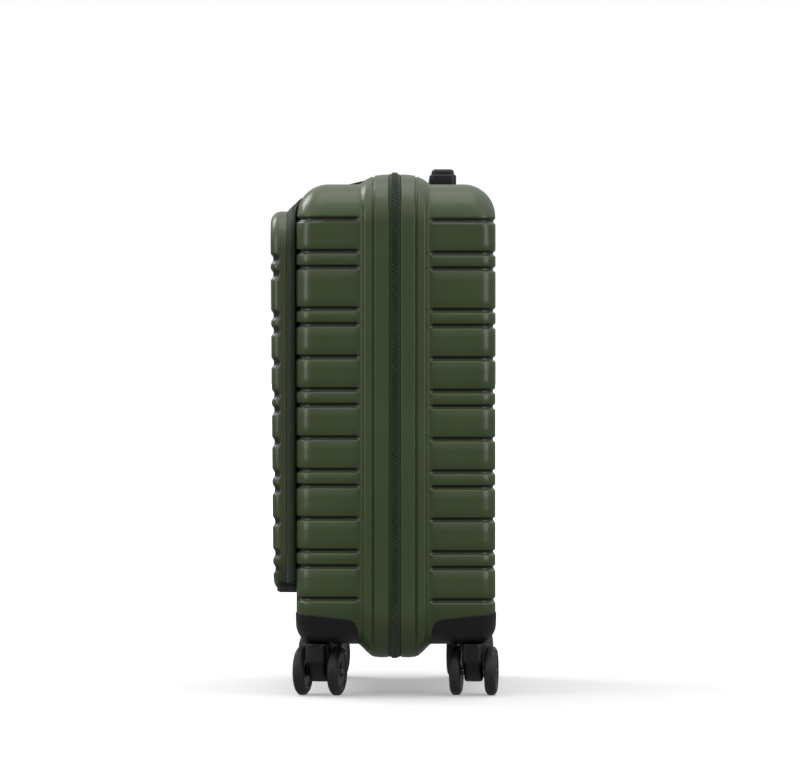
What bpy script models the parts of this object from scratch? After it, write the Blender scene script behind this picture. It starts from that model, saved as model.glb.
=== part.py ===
"""Hard shell carry-on suitcase on four double spinner wheels, with a hinged front pocket.

Metres, +Z up. The case stands on the floor at Z 0 with its front, where the pocket lid is, towards -Y.
The origin is under the middle of the case. Left is -X and right is +X.
Two half shells meet at the main zip and open on a hinge line down the right side.
"""

import math

import bmesh
import bpy
from mathutils import Matrix, Vector

# Outline of the two raised bands beside the main zip, the widest part of the case
BAND_HALF_WIDTH = 0.185
BAND_LOW = 0.040
BAND_HIGH = 0.541
BAND_RADIUS = 0.050
ZIP_Y = 0.0102

# The ribbed walls lie inside the bands by these amounts
SIDE_INSET = 0.009
TOP_INSET = 0.0095
BOTTOM_INSET = 0.015
RIBBED_HALF_WIDTH = BAND_HALF_WIDTH - SIDE_INSET
RIBBED_TOP = BAND_HIGH - TOP_INSET
RIBBED_BOTTOM = BAND_LOW + BOTTOM_INSET
SHELL_WALL = 0.0026

# Distances from the zip to the outer wall of each half, and how far the wall's edges are rounded
FRONT_DEPTH = 0.1017
REAR_DEPTH = 0.1042
EDGE_ROUND = 0.033
SIDE_ROUND = 0.020
BOTTOM_ROUND = 0.020

# Across one half: distance from the zip, and the share of the inset that is reached there
RIM_STATIONS = (
    (0.0061, 0.00),
    (0.0200, 0.00),
    (0.0222, 0.30),
    (0.0242, 0.22),
    (0.0290, 0.45),
    (0.0335, 1.00),
)

# Front pocket
LID_FRONT_Y = -0.1190
LID_REAR_Y = -0.1020
LID_HALF_WIDTH = 0.155
LID_LOW = 0.109
LID_HIGH = 0.504
LID_RADIUS = 0.040
LID_EDGE_ROUND = 0.011
LID_WALL = 0.0024
LID_LEAN = 0.003
LID_HINGE_Y = -0.0985
LID_HINGE_Z = 0.1075
POCKET_HALF_WIDTH = 0.142
POCKET_LOW = 0.122
POCKET_HIGH = 0.488
POCKET_RADIUS = 0.034
POCKET_BACK_Y = -0.0525

# Linings
LINING_HALF_WIDTH = 0.168
LINING_LOW = 0.070
LINING_HIGH = 0.515
LINING_RADIUS = 0.036
LINING_START = 0.008
LINING_WALL = 0.0012
REAR_LINING_DEPTH = 0.0978
FRONT_LINING_DEPTH = 0.0602

# Telescopic handle
TUBE_X = 0.078
TROLLEY_Y = 0.0604
OUTER_TUBE = (0.0110, 0.0070)
MIDDLE_TUBE = (0.0090, 0.0050)
INNER_TUBE = (0.0074, 0.0034)
TUBE_WALL = 0.0011
COVER_HALF_WIDTH = 0.092
COVER_FRONT_Y = 0.046
COVER_BACK_Y = 0.1062
GRIP_LOW = 0.5345
GRIP_HIGH = 0.549
BUTTON_HIGH = 0.550

# Casters
STEM_X = 0.138
FRONT_STEM_Y = -0.0709
REAR_STEM_Y = 0.0911
FRONT_YAW = math.radians(-13)
REAR_YAW = math.radians(-6)
WHEEL_RADIUS = 0.0255
WHEEL_WIDTH = 0.012
WHEEL_OFFSET = 0.0183
TRAIL = 0.014
FORK_HALF_WIDTH = 0.0105
FORK_TOP = 0.0515
PLATE_TOP = 0.0547
STEM_RADIUS = 0.005
STEM_TOP = 0.066
AXLE_RADIUS = 0.003
BORE_GAP = 0.00015

# Corner guards: outline seen from the side, as distance from the zip and height
GUARD_OUTLINE = (
    (0.0340, 0.0500),
    (0.0385, 0.0710),
    (0.0425, 0.0780),
    (0.0480, 0.0815),
    (0.0960, 0.0875),
    (0.1200, 0.0905),
    (0.1200, 0.0300),
    (0.0340, 0.0300),
)
GUARD_INNER_X = 0.104
GUARD_WALL = 0.0032

# Combination lock on top of the front half
LOCK_Y = -0.0540
LOCK_TOP = 0.5343
DIAL_X = (-0.023, -0.013, -0.003)
DIAL_RADIUS = 0.0068
DIAL_Z = 0.5290

# Side carry handle on the left
SIDE_HANDLE_Z = 0.290
SIDE_PIVOT_X = -0.1812
SIDE_PIVOT_Y = 0.0855

GAP = 0.0003

scene = bpy.context.scene
for old in list(bpy.data.objects):
    bpy.data.objects.remove(old)
suitcase = bpy.data.collections.new("hard_shell_suitcase")
cutters = bpy.data.collections.new("cutters")
scene.collection.children.link(suitcase)
scene.collection.children.link(cutters)


def material(name, colour, roughness, metallic=0.0):
    """A Principled material of one colour."""
    made = bpy.data.materials.new(name)
    made.use_nodes = True
    shader = made.node_tree.nodes["Principled BSDF"]
    shader.inputs["Base Color"].default_value = (*colour, 1.0)
    shader.inputs["Roughness"].default_value = roughness
    shader.inputs["Metallic"].default_value = metallic
    return made


GREEN = material("green_polycarbonate", (0.075, 0.115, 0.045), 0.35)
BLACK = material("black_nylon", (0.012, 0.012, 0.013), 0.5)
TAPE = material("zip_tape", (0.030, 0.042, 0.032), 0.8)
FABRIC = material("lining_fabric", (0.060, 0.062, 0.060), 0.9)
ALUMINIUM = material("anodised_aluminium", (0.55, 0.56, 0.58), 0.35, 1.0)
STEEL = material("steel", (0.50, 0.50, 0.50), 0.3, 1.0)
ZINC = material("black_zinc", (0.020, 0.020, 0.022), 0.35, 0.8)
TREAD = material("wheel_rubber", (0.020, 0.020, 0.020), 0.7)


def finished(name, bm, finish):
    """Turns a bmesh into a named object of the suitcase."""
    mesh = bpy.data.meshes.new(name)
    bm.to_mesh(mesh)
    bm.free()
    mesh.materials.append(finish)
    obj = bpy.data.objects.new(name, mesh)
    suitcase.objects.link(obj)
    return obj


def apply_modifiers(obj):
    """Replaces the object's mesh with the evaluated one."""
    graph = bpy.context.evaluated_depsgraph_get()
    mesh = bpy.data.meshes.new_from_object(obj.evaluated_get(graph))
    obj.modifiers.clear()
    obj.data = mesh


def combine(obj, operand, operation="DIFFERENCE"):
    """Cuts, intersects or joins obj with operand, and removes the operand."""
    cutters.objects.link(operand)
    suitcase.objects.unlink(operand)
    modifier = obj.modifiers.new(operand.name, "BOOLEAN")
    modifier.object = operand
    modifier.operation = operation
    modifier.solver = "EXACT"
    apply_modifiers(obj)
    bpy.data.objects.remove(operand)


def box(name, low, high, finish, bevel=0.0, segments=1):
    """A box between two corners, with its edges bevelled."""
    bm = bmesh.new()
    bmesh.ops.create_cube(bm, size=1.0)
    low = Vector(low)
    high = Vector(high)
    bmesh.ops.scale(bm, vec=high - low, verts=bm.verts)
    bmesh.ops.translate(bm, vec=(low + high) / 2, verts=bm.verts)
    obj = finished(name, bm, finish)
    if bevel:
        modifier = obj.modifiers.new("rounding", "BEVEL")
        modifier.width = bevel
        modifier.segments = segments
        modifier.limit_method = "ANGLE"
        apply_modifiers(obj)
    return obj


def cylinder(name, radius, start, end, finish, sides=16):
    """A round bar between two points."""
    start = Vector(start)
    end = Vector(end)
    bm = bmesh.new()
    bmesh.ops.create_cone(
        bm, cap_ends=True, segments=sides, radius1=radius, radius2=radius, depth=(end - start).length
    )
    turn = (end - start).to_track_quat("Z", "Y").to_matrix().to_4x4()
    bm.transform(Matrix.Translation((start + end) / 2) @ turn)
    return finished(name, bm, finish)


def turned(name, profile, finish, steps):
    """A ring turned about Z from a closed profile of (radius, height)."""
    bm = bmesh.new()
    verts = [bm.verts.new((radius, 0, height)) for radius, height in profile]
    for first, second in zip(verts, verts[1:] + verts[:1]):
        bm.edges.new((first, second))
    obj = finished(name, bm, finish)
    modifier = obj.modifiers.new("turning", "SCREW")
    modifier.steps = steps
    modifier.render_steps = steps
    modifier.use_merge_vertices = True
    modifier.merge_threshold = 0.00001
    apply_modifiers(obj)
    face_outwards(obj)
    return obj


def face_outwards(obj):
    """Points the faces of a closed mesh outwards."""
    bm = bmesh.new()
    bm.from_mesh(obj.data)
    bmesh.ops.recalc_face_normals(bm, faces=bm.faces)
    bm.to_mesh(obj.data)
    bm.free()


def arc(centre, radius, start, end, steps):
    """Points on an arc, with the angles in degrees."""
    angles = [math.radians(start + (end - start) * i / steps) for i in range(steps + 1)]
    return [(centre[0] + radius * math.cos(a), centre[1] + radius * math.sin(a)) for a in angles]


def rounded_rectangle(half_width, low, high, radius, steps=4):
    """Points round a rectangle with round corners, anticlockwise from the lower right."""
    right = half_width - radius
    points = arc((right, low + radius), radius, -90, 0, steps)
    points += arc((right, high - radius), radius, 0, 90, steps)
    points += arc((-right, high - radius), radius, 90, 180, steps)
    points += arc((-right, low + radius), radius, 180, 270, steps)
    return points


def arch(half_width, low, high, radius, steps=4):
    """Points up the right side, over the top and down the left side."""
    right = half_width - radius
    points = [(half_width, low)]
    points += arc((right, high - radius), radius, 0, 90, steps)
    points += arc((-right, high - radius), radius, 90, 180, steps)
    return points + [(-half_width, low)]


def upright(points, y):
    """Points of an outline seen from the front, placed at depth y."""
    return [Vector((x, y, z)) for x, z in points]


def loft(rows, closed_rows=True, ring=False, cap_last=False, cap_ends=False):
    """A bmesh of faces between rows of points. ring joins the last row to the first."""
    bm = bmesh.new()
    grid = [[bm.verts.new(point) for point in row] for row in rows]
    pairs = list(zip(grid, grid[1:]))
    if ring:
        pairs.append((grid[-1], grid[0]))
    count = len(grid[0])
    for first, second in pairs:
        for i in range(count if closed_rows else count - 1):
            j = (i + 1) % count
            bm.faces.new((first[i], first[j], second[j], second[i]))
    if cap_last:
        bm.faces.new(grid[-1])
    if cap_ends:
        bm.faces.new([row[0] for row in grid])
        bm.faces.new([row[-1] for row in grid])
    bmesh.ops.recalc_face_normals(bm, faces=bm.faces)
    return bm


def solidified(name, bm, finish, thickness, outward_y):
    """Gives an open tub its wall, inwards from the surface drawn. outward_y is where its floor faces."""
    floor = max(bm.faces, key=lambda face: face.calc_area())
    floor.normal_update()
    if floor.normal.y * outward_y < 0:
        bmesh.ops.reverse_faces(bm, faces=bm.faces)
    obj = finished(name, bm, finish)
    modifier = obj.modifiers.new("wall", "SOLIDIFY")
    modifier.thickness = thickness
    modifier.offset = -1
    modifier.use_even_offset = True
    apply_modifiers(obj)
    return obj


def extruded(name, outline, low, high, finish, axis):
    """A flat outline given thickness along an axis. The outline's points are on the other two axes, in order."""
    bm = bmesh.new()
    places = {"X": lambda a, b: (low, a, b), "Y": lambda a, b: (a, low, b), "Z": lambda a, b: (a, b, low)}
    face = bm.faces.new([bm.verts.new(places[axis](a, b)) for a, b in outline])
    moved = bmesh.ops.extrude_face_region(bm, geom=[face])["geom"]
    step = {"X": Vector((1, 0, 0)), "Y": Vector((0, 1, 0)), "Z": Vector((0, 0, 1))}[axis]
    verts = [item for item in moved if isinstance(item, bmesh.types.BMVert)]
    bmesh.ops.translate(bm, vec=step * (high - low), verts=verts)
    bmesh.ops.recalc_face_normals(bm, faces=bm.faces)
    return finished(name, bm, finish)


def tube(name, x, y, half_size, wall, low, high, finish):
    """An upright tube of rounded rectangular section, open at both ends."""
    rows = []
    for inset, z in ((0, low), (0, high), (wall, high), (wall, low)):
        half_x = half_size[0] - inset
        half_y = half_size[1] - inset
        outline = rounded_rectangle(half_x, -half_y, half_y, half_y * 0.6, 2)
        rows.append([Vector((x + a, y + b, z)) for a, b in outline])
    return finished(name, loft(rows, ring=True), finish)


def mount(name, place, turn=None, parent=None):
    """An empty on a joint's axis."""
    empty = bpy.data.objects.new(name, None)
    scene.collection.objects.link(empty)
    if turn:
        empty.rotation_euler = turn
    empty.location = place
    if parent:
        hold(empty, parent)
    return empty


def hold(obj, parent):
    """Parents obj where it is."""
    bpy.context.view_layer.update()
    obj.parent = parent
    obj.matrix_parent_inverse = parent.matrix_world.inverted()


def turned_in(radius, left):
    """How far a round edge has turned in, where left is the distance still to go to the wall."""
    over = max(0.0, radius - left)
    return radius - math.sqrt(radius**2 - over**2)


def half_rows(side, depth, rim):
    """Rings of one half shell, from its rim to its outer wall. side is 1 for the rear half and -1 for the front."""
    rows = []
    for distance, share in rim:
        outline = rounded_rectangle(
            BAND_HALF_WIDTH - share * SIDE_INSET,
            BAND_LOW + share * BOTTOM_INSET,
            BAND_HIGH - share * TOP_INSET,
            BAND_RADIUS - share * SIDE_INSET,
        )
        rows.append(upright(outline, ZIP_Y + side * distance))
    for angle in (0, 20, 40, 60, 90):
        left = EDGE_ROUND * (1 - math.sin(math.radians(angle)))
        side_inset = turned_in(SIDE_ROUND, left)
        outline = rounded_rectangle(
            RIBBED_HALF_WIDTH - side_inset,
            RIBBED_BOTTOM + turned_in(BOTTOM_ROUND, left),
            RIBBED_TOP - turned_in(EDGE_ROUND, left),
            BAND_RADIUS - SIDE_INSET - side_inset,
        )
        rows.append(upright(outline, ZIP_Y + side * (depth - left)))
    return rows


def guard_prism(side, hand, gap):
    """The corner that a guard takes from a half shell, kept back by gap."""
    outline = [(ZIP_Y + side * (distance + gap), height - gap) for distance, height in GUARD_OUTLINE]
    inner, outer = sorted((hand * (GUARD_INNER_X + gap), hand * (BAND_HALF_WIDTH + 0.01)))
    return extruded("guard_prism", outline, inner, outer, BLACK, "X")


def half_shell(name, side, depth):
    """A pressed half shell with its raised band, and its lower corners left open for the guards."""
    bm = loft(half_rows(side, depth, RIM_STATIONS), cap_last=True)
    obj = solidified(name, bm, GREEN, SHELL_WALL, side)
    for hand in (1, -1):
        combine(obj, guard_prism(side, hand, 0))
    return obj


def tub(name, half_width, low, high, radius, rim_y, floor_y, rounding, wall, finish):
    """An open tray with a flat floor and rounded edges."""
    outward = 1 if floor_y > rim_y else -1
    rows = [upright(rounded_rectangle(half_width, low, high, radius), rim_y)]
    for angle in (0, 45, 90):
        a = math.radians(angle)
        inset = rounding * (1 - math.cos(a))
        outline = rounded_rectangle(half_width - inset, low + inset, high - inset, radius - inset)
        rows.append(upright(outline, floor_y - outward * rounding * (1 - math.sin(a))))
    return solidified(name, loft(rows, cap_last=True), finish, wall, outward)


def zip_tape(name, side):
    """Half of the main zip: its woven tape and the row of teeth that stands up along the middle."""
    meeting = 0.00015
    section = (
        (meeting, -0.0008),
        (0.0020, -0.0008),
        (0.0022, 0.0010),
        (0.0058, 0.0010),
        (0.0058, 0.0022),
        (meeting, 0.0022),
    )
    rows = []
    for distance, inset in section:
        outline = rounded_rectangle(
            BAND_HALF_WIDTH - inset, BAND_LOW + inset, BAND_HIGH - inset, BAND_RADIUS - inset, 5
        )
        rows.append(upright(outline, ZIP_Y + side * distance))
    return finished(name, loft(rows, ring=True), TAPE)


def shoulder_y(z):
    """Depth of the front shell's wall where it rounds over into the top."""
    centre_y = ZIP_Y - FRONT_DEPTH + EDGE_ROUND
    climb = max(0.0, z - (RIBBED_TOP - EDGE_ROUND))
    return centre_y - math.sqrt(EDGE_ROUND**2 - climb**2)


def guard(name, side, hand, depth, stem_y):
    """A moulded corner that carries a caster: the shell's own corner, with a bored boss for the stem."""
    rows = half_rows(side, depth, RIM_STATIONS[-1:])
    obj = solidified(name, loft(rows, cap_last=True), BLACK, GUARD_WALL, side)
    combine(obj, guard_prism(side, hand, GAP), "INTERSECT")
    x = hand * STEM_X
    boss = cylinder("boss", 0.009, (x, stem_y, PLATE_TOP + GAP), (x, stem_y, STEM_TOP + 0.003), BLACK)
    combine(obj, boss, "UNION")
    radius = STEM_RADIUS + BORE_GAP
    combine(obj, cylinder("bore", radius, (x, stem_y, 0.050), (x, stem_y, STEM_TOP + 0.001), BLACK))
    return obj


# Rear half, which stays still
rear_shell = half_shell("rear_shell", 1, REAR_DEPTH)
for hand in (1, -1):
    x = hand * TUBE_X
    slot_x = MIDDLE_TUBE[0] + 0.0006
    slot_y = MIDDLE_TUBE[1] + 0.0006
    slot = ((x - slot_x, TROLLEY_Y - slot_y, 0.52), (x + slot_x, TROLLEY_Y + slot_y, 0.54))
    combine(rear_shell, box("slot", *slot, BLACK))
rear_lining = tub(
    "rear_lining",
    LINING_HALF_WIDTH,
    LINING_LOW,
    LINING_HIGH,
    LINING_RADIUS,
    ZIP_Y + LINING_START,
    ZIP_Y + REAR_LINING_DEPTH,
    0.020,
    LINING_WALL,
    FABRIC,
)
cover_room = COVER_HALF_WIDTH + 0.0005
combine(
    rear_lining,
    box("cover_room", (-cover_room, COVER_FRONT_Y - 0.0005, 0.05), (cover_room, 0.1065, 0.54), FABRIC),
)
zip_tape("rear_zip_tape", 1)
for hand, word in ((-1, "left"), (1, "right")):
    guard(f"corner_guard_rear_{word}", 1, hand, REAR_DEPTH, REAR_STEM_Y)

# Telescopic handle: fixed outer tubes, a foot bracket, the lining's cover over them and the bezel on top
TUBE_LOW = 0.072
COVER_WALL = 0.0015
for hand, word in ((-1, "left"), (1, "right")):
    outer_top = RIBBED_TOP - SHELL_WALL - GAP
    tube(
        f"trolley_outer_tube_{word}", hand * TUBE_X, TROLLEY_Y, OUTER_TUBE, TUBE_WALL, TUBE_LOW, outer_top, ALUMINIUM
    )
box("trolley_base_bracket", (-0.0898, 0.0504, 0.0585), (0.0898, 0.0704, TUBE_LOW - GAP), BLACK, 0.002)
cover_inner = COVER_HALF_WIDTH - COVER_WALL
extruded(
    "trolley_cover",
    (
        (-COVER_HALF_WIDTH, COVER_BACK_Y),
        (-COVER_HALF_WIDTH, COVER_FRONT_Y),
        (COVER_HALF_WIDTH, COVER_FRONT_Y),
        (COVER_HALF_WIDTH, COVER_BACK_Y),
        (cover_inner, COVER_BACK_Y),
        (cover_inner, COVER_FRONT_Y + COVER_WALL),
        (-cover_inner, COVER_FRONT_Y + COVER_WALL),
        (-cover_inner, COVER_BACK_Y),
    ),
    LINING_LOW + 0.0005,
    LINING_HIGH - 0.0005,
    FABRIC,
    "Z",
)
BEZEL_LOW = RIBBED_TOP + GAP
BEZEL_FLOOR = BEZEL_LOW + 0.002
bezel = box(
    "trolley_bezel", (-0.105, TROLLEY_Y - 0.014, BEZEL_LOW), (0.105, TROLLEY_Y + 0.014, 0.5429), BLACK, 0.003, 2
)
combine(
    bezel,
    box("well", (-0.0967, TROLLEY_Y - 0.0122, BEZEL_FLOOR), (0.0967, TROLLEY_Y + 0.0122, 0.56), BLACK),
)
for hand in (1, -1):
    x = hand * TUBE_X
    hole = ((x - slot_x, TROLLEY_Y - slot_y, 0.52), (x + slot_x, TROLLEY_Y + slot_y, 0.54))
    combine(bezel, box("hole", *hole, BLACK))

# The two drawn stages ride on empties at the tubes' feet
stage_one = mount("trolley_stage_one", (0, TROLLEY_Y, 0.080))
stage_two = mount("trolley_stage_two", (0, TROLLEY_Y, 0.085), parent=stage_one)
for hand, word in ((-1, "left"), (1, "right")):
    x = hand * TUBE_X
    middle = tube(
        f"trolley_middle_tube_{word}", x, TROLLEY_Y, MIDDLE_TUBE, TUBE_WALL, 0.080, 0.534, ALUMINIUM
    )
    hold(middle, stage_one)
    inner = tube(
        f"trolley_inner_tube_{word}", x, TROLLEY_Y, INNER_TUBE, TUBE_WALL, 0.085, GRIP_LOW - GAP, ALUMINIUM
    )
    hold(inner, stage_two)
grip = box(
    "trolley_grip", (-0.0963, TROLLEY_Y - 0.0118, GRIP_LOW), (0.0963, TROLLEY_Y + 0.0118, GRIP_HIGH), BLACK, 0.004, 3
)
combine(
    grip,
    box("button_well", (-0.0215, TROLLEY_Y - 0.0062, 0.542), (0.0215, TROLLEY_Y + 0.0062, 0.56), BLACK),
)
hold(grip, stage_two)
button = box(
    "trolley_button", (-0.021, TROLLEY_Y - 0.0057, 0.5465), (0.021, TROLLEY_Y + 0.0057, BUTTON_HIGH), BLACK, 0.001, 2
)
hold(button, stage_two)

# Packing strap across the rear compartment, with its clip
strap = box("packing_strap", (-0.1660, 0.0425, 0.2775), (0.1660, 0.0437, 0.3025), BLACK)
combine(strap, box("clip", (-0.030, 0.0355, 0.272), (0.030, 0.0430, 0.308), BLACK, 0.002), "UNION")

# Side carry handle: a bail on two lugs, which swings out from the wall
LUG_LENGTH = 0.0095
handle_end = SIDE_HANDLE_Z + 0.085
handle_foot = SIDE_HANDLE_Z - 0.085
PLATE_X = -RIBBED_HALF_WIDTH - GAP
base = box("side_handle_base", (PLATE_X - 0.0022, 0.050, handle_foot), (PLATE_X, 0.094, handle_end), BLACK, 0.001)
for low in (handle_foot, handle_end - LUG_LENGTH):
    lug = box(
        "lug",
        (-0.1845, SIDE_PIVOT_Y - 0.004, low),
        (PLATE_X - 0.001, SIDE_PIVOT_Y + 0.004, low + LUG_LENGTH),
        BLACK,
    )
    combine(base, lug, "UNION")
pivot_bore = cylinder(
    "pivot_bore",
    0.0015 + BORE_GAP,
    (SIDE_PIVOT_X, SIDE_PIVOT_Y, handle_foot + 0.002),
    (SIDE_PIVOT_X, SIDE_PIVOT_Y, handle_end - 0.002),
    BLACK,
    12,
)
combine(base, pivot_bore)
ARM_LOW = handle_foot + LUG_LENGTH + 0.001
ARM_HIGH = handle_end - LUG_LENGTH - 0.001
BAIL_X = (SIDE_PIVOT_X - 0.0023, SIDE_PIVOT_X + 0.0023)
bail = extruded(
    "side_handle_grip",
    (
        (SIDE_PIVOT_Y + 0.0012, ARM_LOW),
        (SIDE_PIVOT_Y + 0.0012, ARM_LOW + 0.009),
        (0.0605, ARM_LOW + 0.012),
        (0.0605, ARM_HIGH - 0.012),
        (SIDE_PIVOT_Y + 0.0012, ARM_HIGH - 0.009),
        (SIDE_PIVOT_Y + 0.0012, ARM_HIGH),
        (0.0560, ARM_HIGH),
        (0.0495, ARM_HIGH - 0.007),
        (0.0495, ARM_LOW + 0.007),
        (0.0560, ARM_LOW),
    ),
    BAIL_X[0],
    BAIL_X[1],
    BLACK,
    "X",
)
for start, end in ((handle_foot + 0.003, ARM_LOW + 0.004), (ARM_HIGH - 0.004, handle_end - 0.003)):
    pin = cylinder(
        "pin", 0.0015, (SIDE_PIVOT_X, SIDE_PIVOT_Y, start), (SIDE_PIVOT_X, SIDE_PIVOT_Y, end), BLACK, 12
    )
    combine(bail, pin, "UNION")
hold(bail, mount("side_handle_pivot", (SIDE_PIVOT_X, SIDE_PIVOT_Y, SIDE_HANDLE_Z)))

# Front half, which swings on the hinge line down the right side
front_hinge = mount("case_opening", (BAND_HALF_WIDTH + 0.002, ZIP_Y, 0))
front_shell = half_shell("front_shell", -1, FRONT_DEPTH)
front_wall = ZIP_Y - FRONT_DEPTH
pocket_outline = rounded_rectangle(POCKET_HALF_WIDTH, POCKET_LOW, POCKET_HIGH, POCKET_RADIUS)
combine(
    front_shell,
    extruded("pocket_cut", pocket_outline, front_wall - 0.01, front_wall + 0.01, BLACK, "Y"),
)
combine(
    front_shell, box("lock_cut", (-0.0335, LOCK_Y - 0.010, 0.52), (0.0335, LOCK_Y + 0.010, 0.54), BLACK)
)
front_pieces = [front_shell]
front_pieces.append(
    tub(
        "front_lining",
        LINING_HALF_WIDTH,
        LINING_LOW,
        LINING_HIGH,
        LINING_RADIUS,
        ZIP_Y - LINING_START,
        ZIP_Y - FRONT_LINING_DEPTH,
        0.010,
        LINING_WALL,
        FABRIC,
    )
)
front_pieces.append(zip_tape("front_zip_tape", -1))
for hand, word in ((-1, "left"), (1, "right")):
    front_pieces.append(guard(f"corner_guard_front_{word}", -1, hand, FRONT_DEPTH, FRONT_STEM_Y))
front_pieces.append(
    tub(
        "pocket_tray",
        POCKET_HALF_WIDTH - 0.0005,
        POCKET_LOW + 0.0005,
        POCKET_HIGH - 0.0005,
        POCKET_RADIUS - 0.0005,
        front_wall + GAP,
        POCKET_BACK_Y,
        0.008,
        0.0016,
        FABRIC,
    )
)
sleeve_back = POCKET_BACK_Y - 0.0022
sleeve = box("laptop_sleeve", (-0.126, -0.0750, 0.134), (0.126, sleeve_back, 0.400), FABRIC, 0.003)
combine(sleeve, box("laptop_room", (-0.121, -0.0705, 0.139), (0.121, -0.05, 0.45), FABRIC))
front_pieces.append(sleeve)
front_pieces.append(box("mesh_pocket", (-0.150, -0.0484, 0.090), (0.150, -0.0460, 0.270), FABRIC, 0.0008))

# Half of the pocket zip on the shell and half on the lid, running up both sides and over the top
ZIP_FOOT = 0.118
TAPE_WALL = 0.0012
SHELL_TAPE_WALL = 0.0008
SHELL_TAPE_SINK = 0.0007
LID_TAPE = (0.154, 0.503, 0.038, -0.1017)
MID_TAPE = (0.156, 0.5098, 0.042)
SHELL_TAPE = (0.1575, 0.518, 0.046)


def mid_row(inset, shift):
    """The line where the two halves of the pocket zip meet. It leans back where it crosses the shoulder."""
    half_width, high, radius = MID_TAPE
    points = arch(half_width - inset, ZIP_FOOT, high - inset, radius - inset)
    return [Vector((x, -0.0969 + shift + 0.0024 * max(0.0, z - 0.48) / 0.03, z)) for x, z in points]


def lid_row(inset):
    """The pocket zip's edge on the lid."""
    half_width, high, radius, y = LID_TAPE
    return upright(arch(half_width - inset, ZIP_FOOT, high - inset, radius - inset), y)


def shell_row(inset, sink):
    """The pocket zip's edge on the shell, just off its wall and shoulder."""
    half_width, high, radius = SHELL_TAPE
    points = arch(half_width - inset, ZIP_FOOT, high - inset, radius - inset)
    return [Vector((x, shoulder_y(z) - 0.0016 + sink, z)) for x, z in points]


shell_tape_rows = [
    mid_row(0, GAP),
    shell_row(0, 0),
    shell_row(SHELL_TAPE_WALL, SHELL_TAPE_SINK),
    mid_row(SHELL_TAPE_WALL, GAP + SHELL_TAPE_SINK),
]
front_pieces.append(
    finished("pocket_zip_shell_tape", loft(shell_tape_rows, closed_rows=False, ring=True, cap_ends=True), TAPE)
)

# Combination lock, set through the top of the front half
lock = box("lock_body", (-0.036, LOCK_Y - 0.0125, 0.5319), (0.036, LOCK_Y + 0.0125, LOCK_TOP), ZINC, 0.0008)
combine(
    lock, box("lock_case", (-0.033, LOCK_Y - 0.0095, 0.519), (0.033, LOCK_Y + 0.0095, 0.5325), ZINC), "UNION"
)
for x in DIAL_X:
    combine(lock, box("dial_slot", (x - 0.003, LOCK_Y - 0.0075, 0.5215), (x + 0.003, LOCK_Y + 0.0075, 0.54), ZINC))
combine(lock, box("release_slot", (0.004, LOCK_Y - 0.005, 0.5315), (0.020, LOCK_Y + 0.005, 0.54), ZINC))
front_pieces.append(lock)
for piece in front_pieces:
    hold(piece, front_hinge)
for number, x in enumerate(DIAL_X, 1):
    dial = cylinder(
        f"lock_dial_{number}", DIAL_RADIUS, (x - 0.0026, LOCK_Y, DIAL_Z), (x + 0.0026, LOCK_Y, DIAL_Z), ZINC, 20
    )
    hold(dial, mount(f"dial_axis_{number}", (x, LOCK_Y, DIAL_Z), parent=front_hinge))
release = box("lock_release_button", (0.0045, LOCK_Y - 0.0045, 0.5318), (0.0165, LOCK_Y + 0.0045, 0.5352), ZINC, 0.0005)
hold(release, front_hinge)

# Pocket lid, hinged along its foot
lid_hinge = mount("pocket_lid_hinge", (0, LID_HINGE_Y, LID_HINGE_Z), parent=front_hinge)
lid_rows = [upright(rounded_rectangle(LID_HALF_WIDTH, LID_LOW, LID_HIGH, LID_RADIUS), LID_REAR_Y)]
for angle in (0, 30, 60, 90):
    a = math.radians(angle)
    inset = LID_EDGE_ROUND * (1 - math.cos(a))
    outline = rounded_rectangle(LID_HALF_WIDTH - inset, LID_LOW + inset, LID_HIGH - inset, LID_RADIUS - inset)
    lid_rows.append(upright(outline, LID_FRONT_Y + LID_EDGE_ROUND * (1 - math.sin(a))))
lid_bm = loft(lid_rows, cap_last=True)
for vert in lid_bm.verts:
    share = (LID_REAR_Y - vert.co.y) / (LID_REAR_Y - LID_FRONT_Y)
    vert.co.y += LID_LEAN * share * (LID_HIGH - vert.co.z) / (LID_HIGH - LID_LOW)
hold(solidified("pocket_lid_shell", lid_bm, GREEN, LID_WALL, -1), lid_hinge)
lid_tape_rows = [lid_row(0), mid_row(0, 0), mid_row(TAPE_WALL, 0), lid_row(TAPE_WALL)]
lid_tape = loft(lid_tape_rows, closed_rows=False, ring=True, cap_ends=True)
hold(finished("pocket_zip_lid_tape", lid_tape, TAPE), lid_hinge)

# Folded side gussets of the pocket, one strip that runs down, across the foot and up again
GUSSET = (0.1515, 0.1130, 0.340, 0.030)
gusset_rows = []
for inset, y in ((0, -0.1012), (0, front_wall - 0.0007), (0.0012, front_wall - 0.0007), (0.0012, -0.1012)):
    half_width, low, high, radius = GUSSET
    outline = arch(half_width - inset, -high, -low - inset, radius - inset)
    gusset_rows.append([Vector((x, y, -z)) for x, z in outline])
hold(
    finished("pocket_gusset", loft(gusset_rows, closed_rows=False, ring=True, cap_ends=True), FABRIC), front_hinge
)


def slider(name, x, place, lean, finish=ZINC):
    """A zip slider sitting on the closed teeth, leaning about X by an angle."""
    obj = box(name, (-0.0045, -0.0042, -0.0015), (0.0045, 0.0042, 0.0014), finish, 0.0006)
    obj.data.transform(Matrix.Translation((x, *place)) @ Matrix.Rotation(lean, 4, "X"))
    return obj


def puller(name, x, start, end):
    """A pull tab from the slider's eye to the lock's edge. start and end are (y, z) on its middle line."""
    length = math.dist(start, end)
    obj = box(name, (-0.005, 0.0004, -0.0007), (0.005, length, 0.0007), ZINC, 0.0003)
    lean = math.atan2(end[1] - start[1], end[0] - start[0])
    obj.data.transform(Matrix.Translation((x, *start)) @ Matrix.Rotation(lean, 4, "X"))
    return obj


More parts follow.
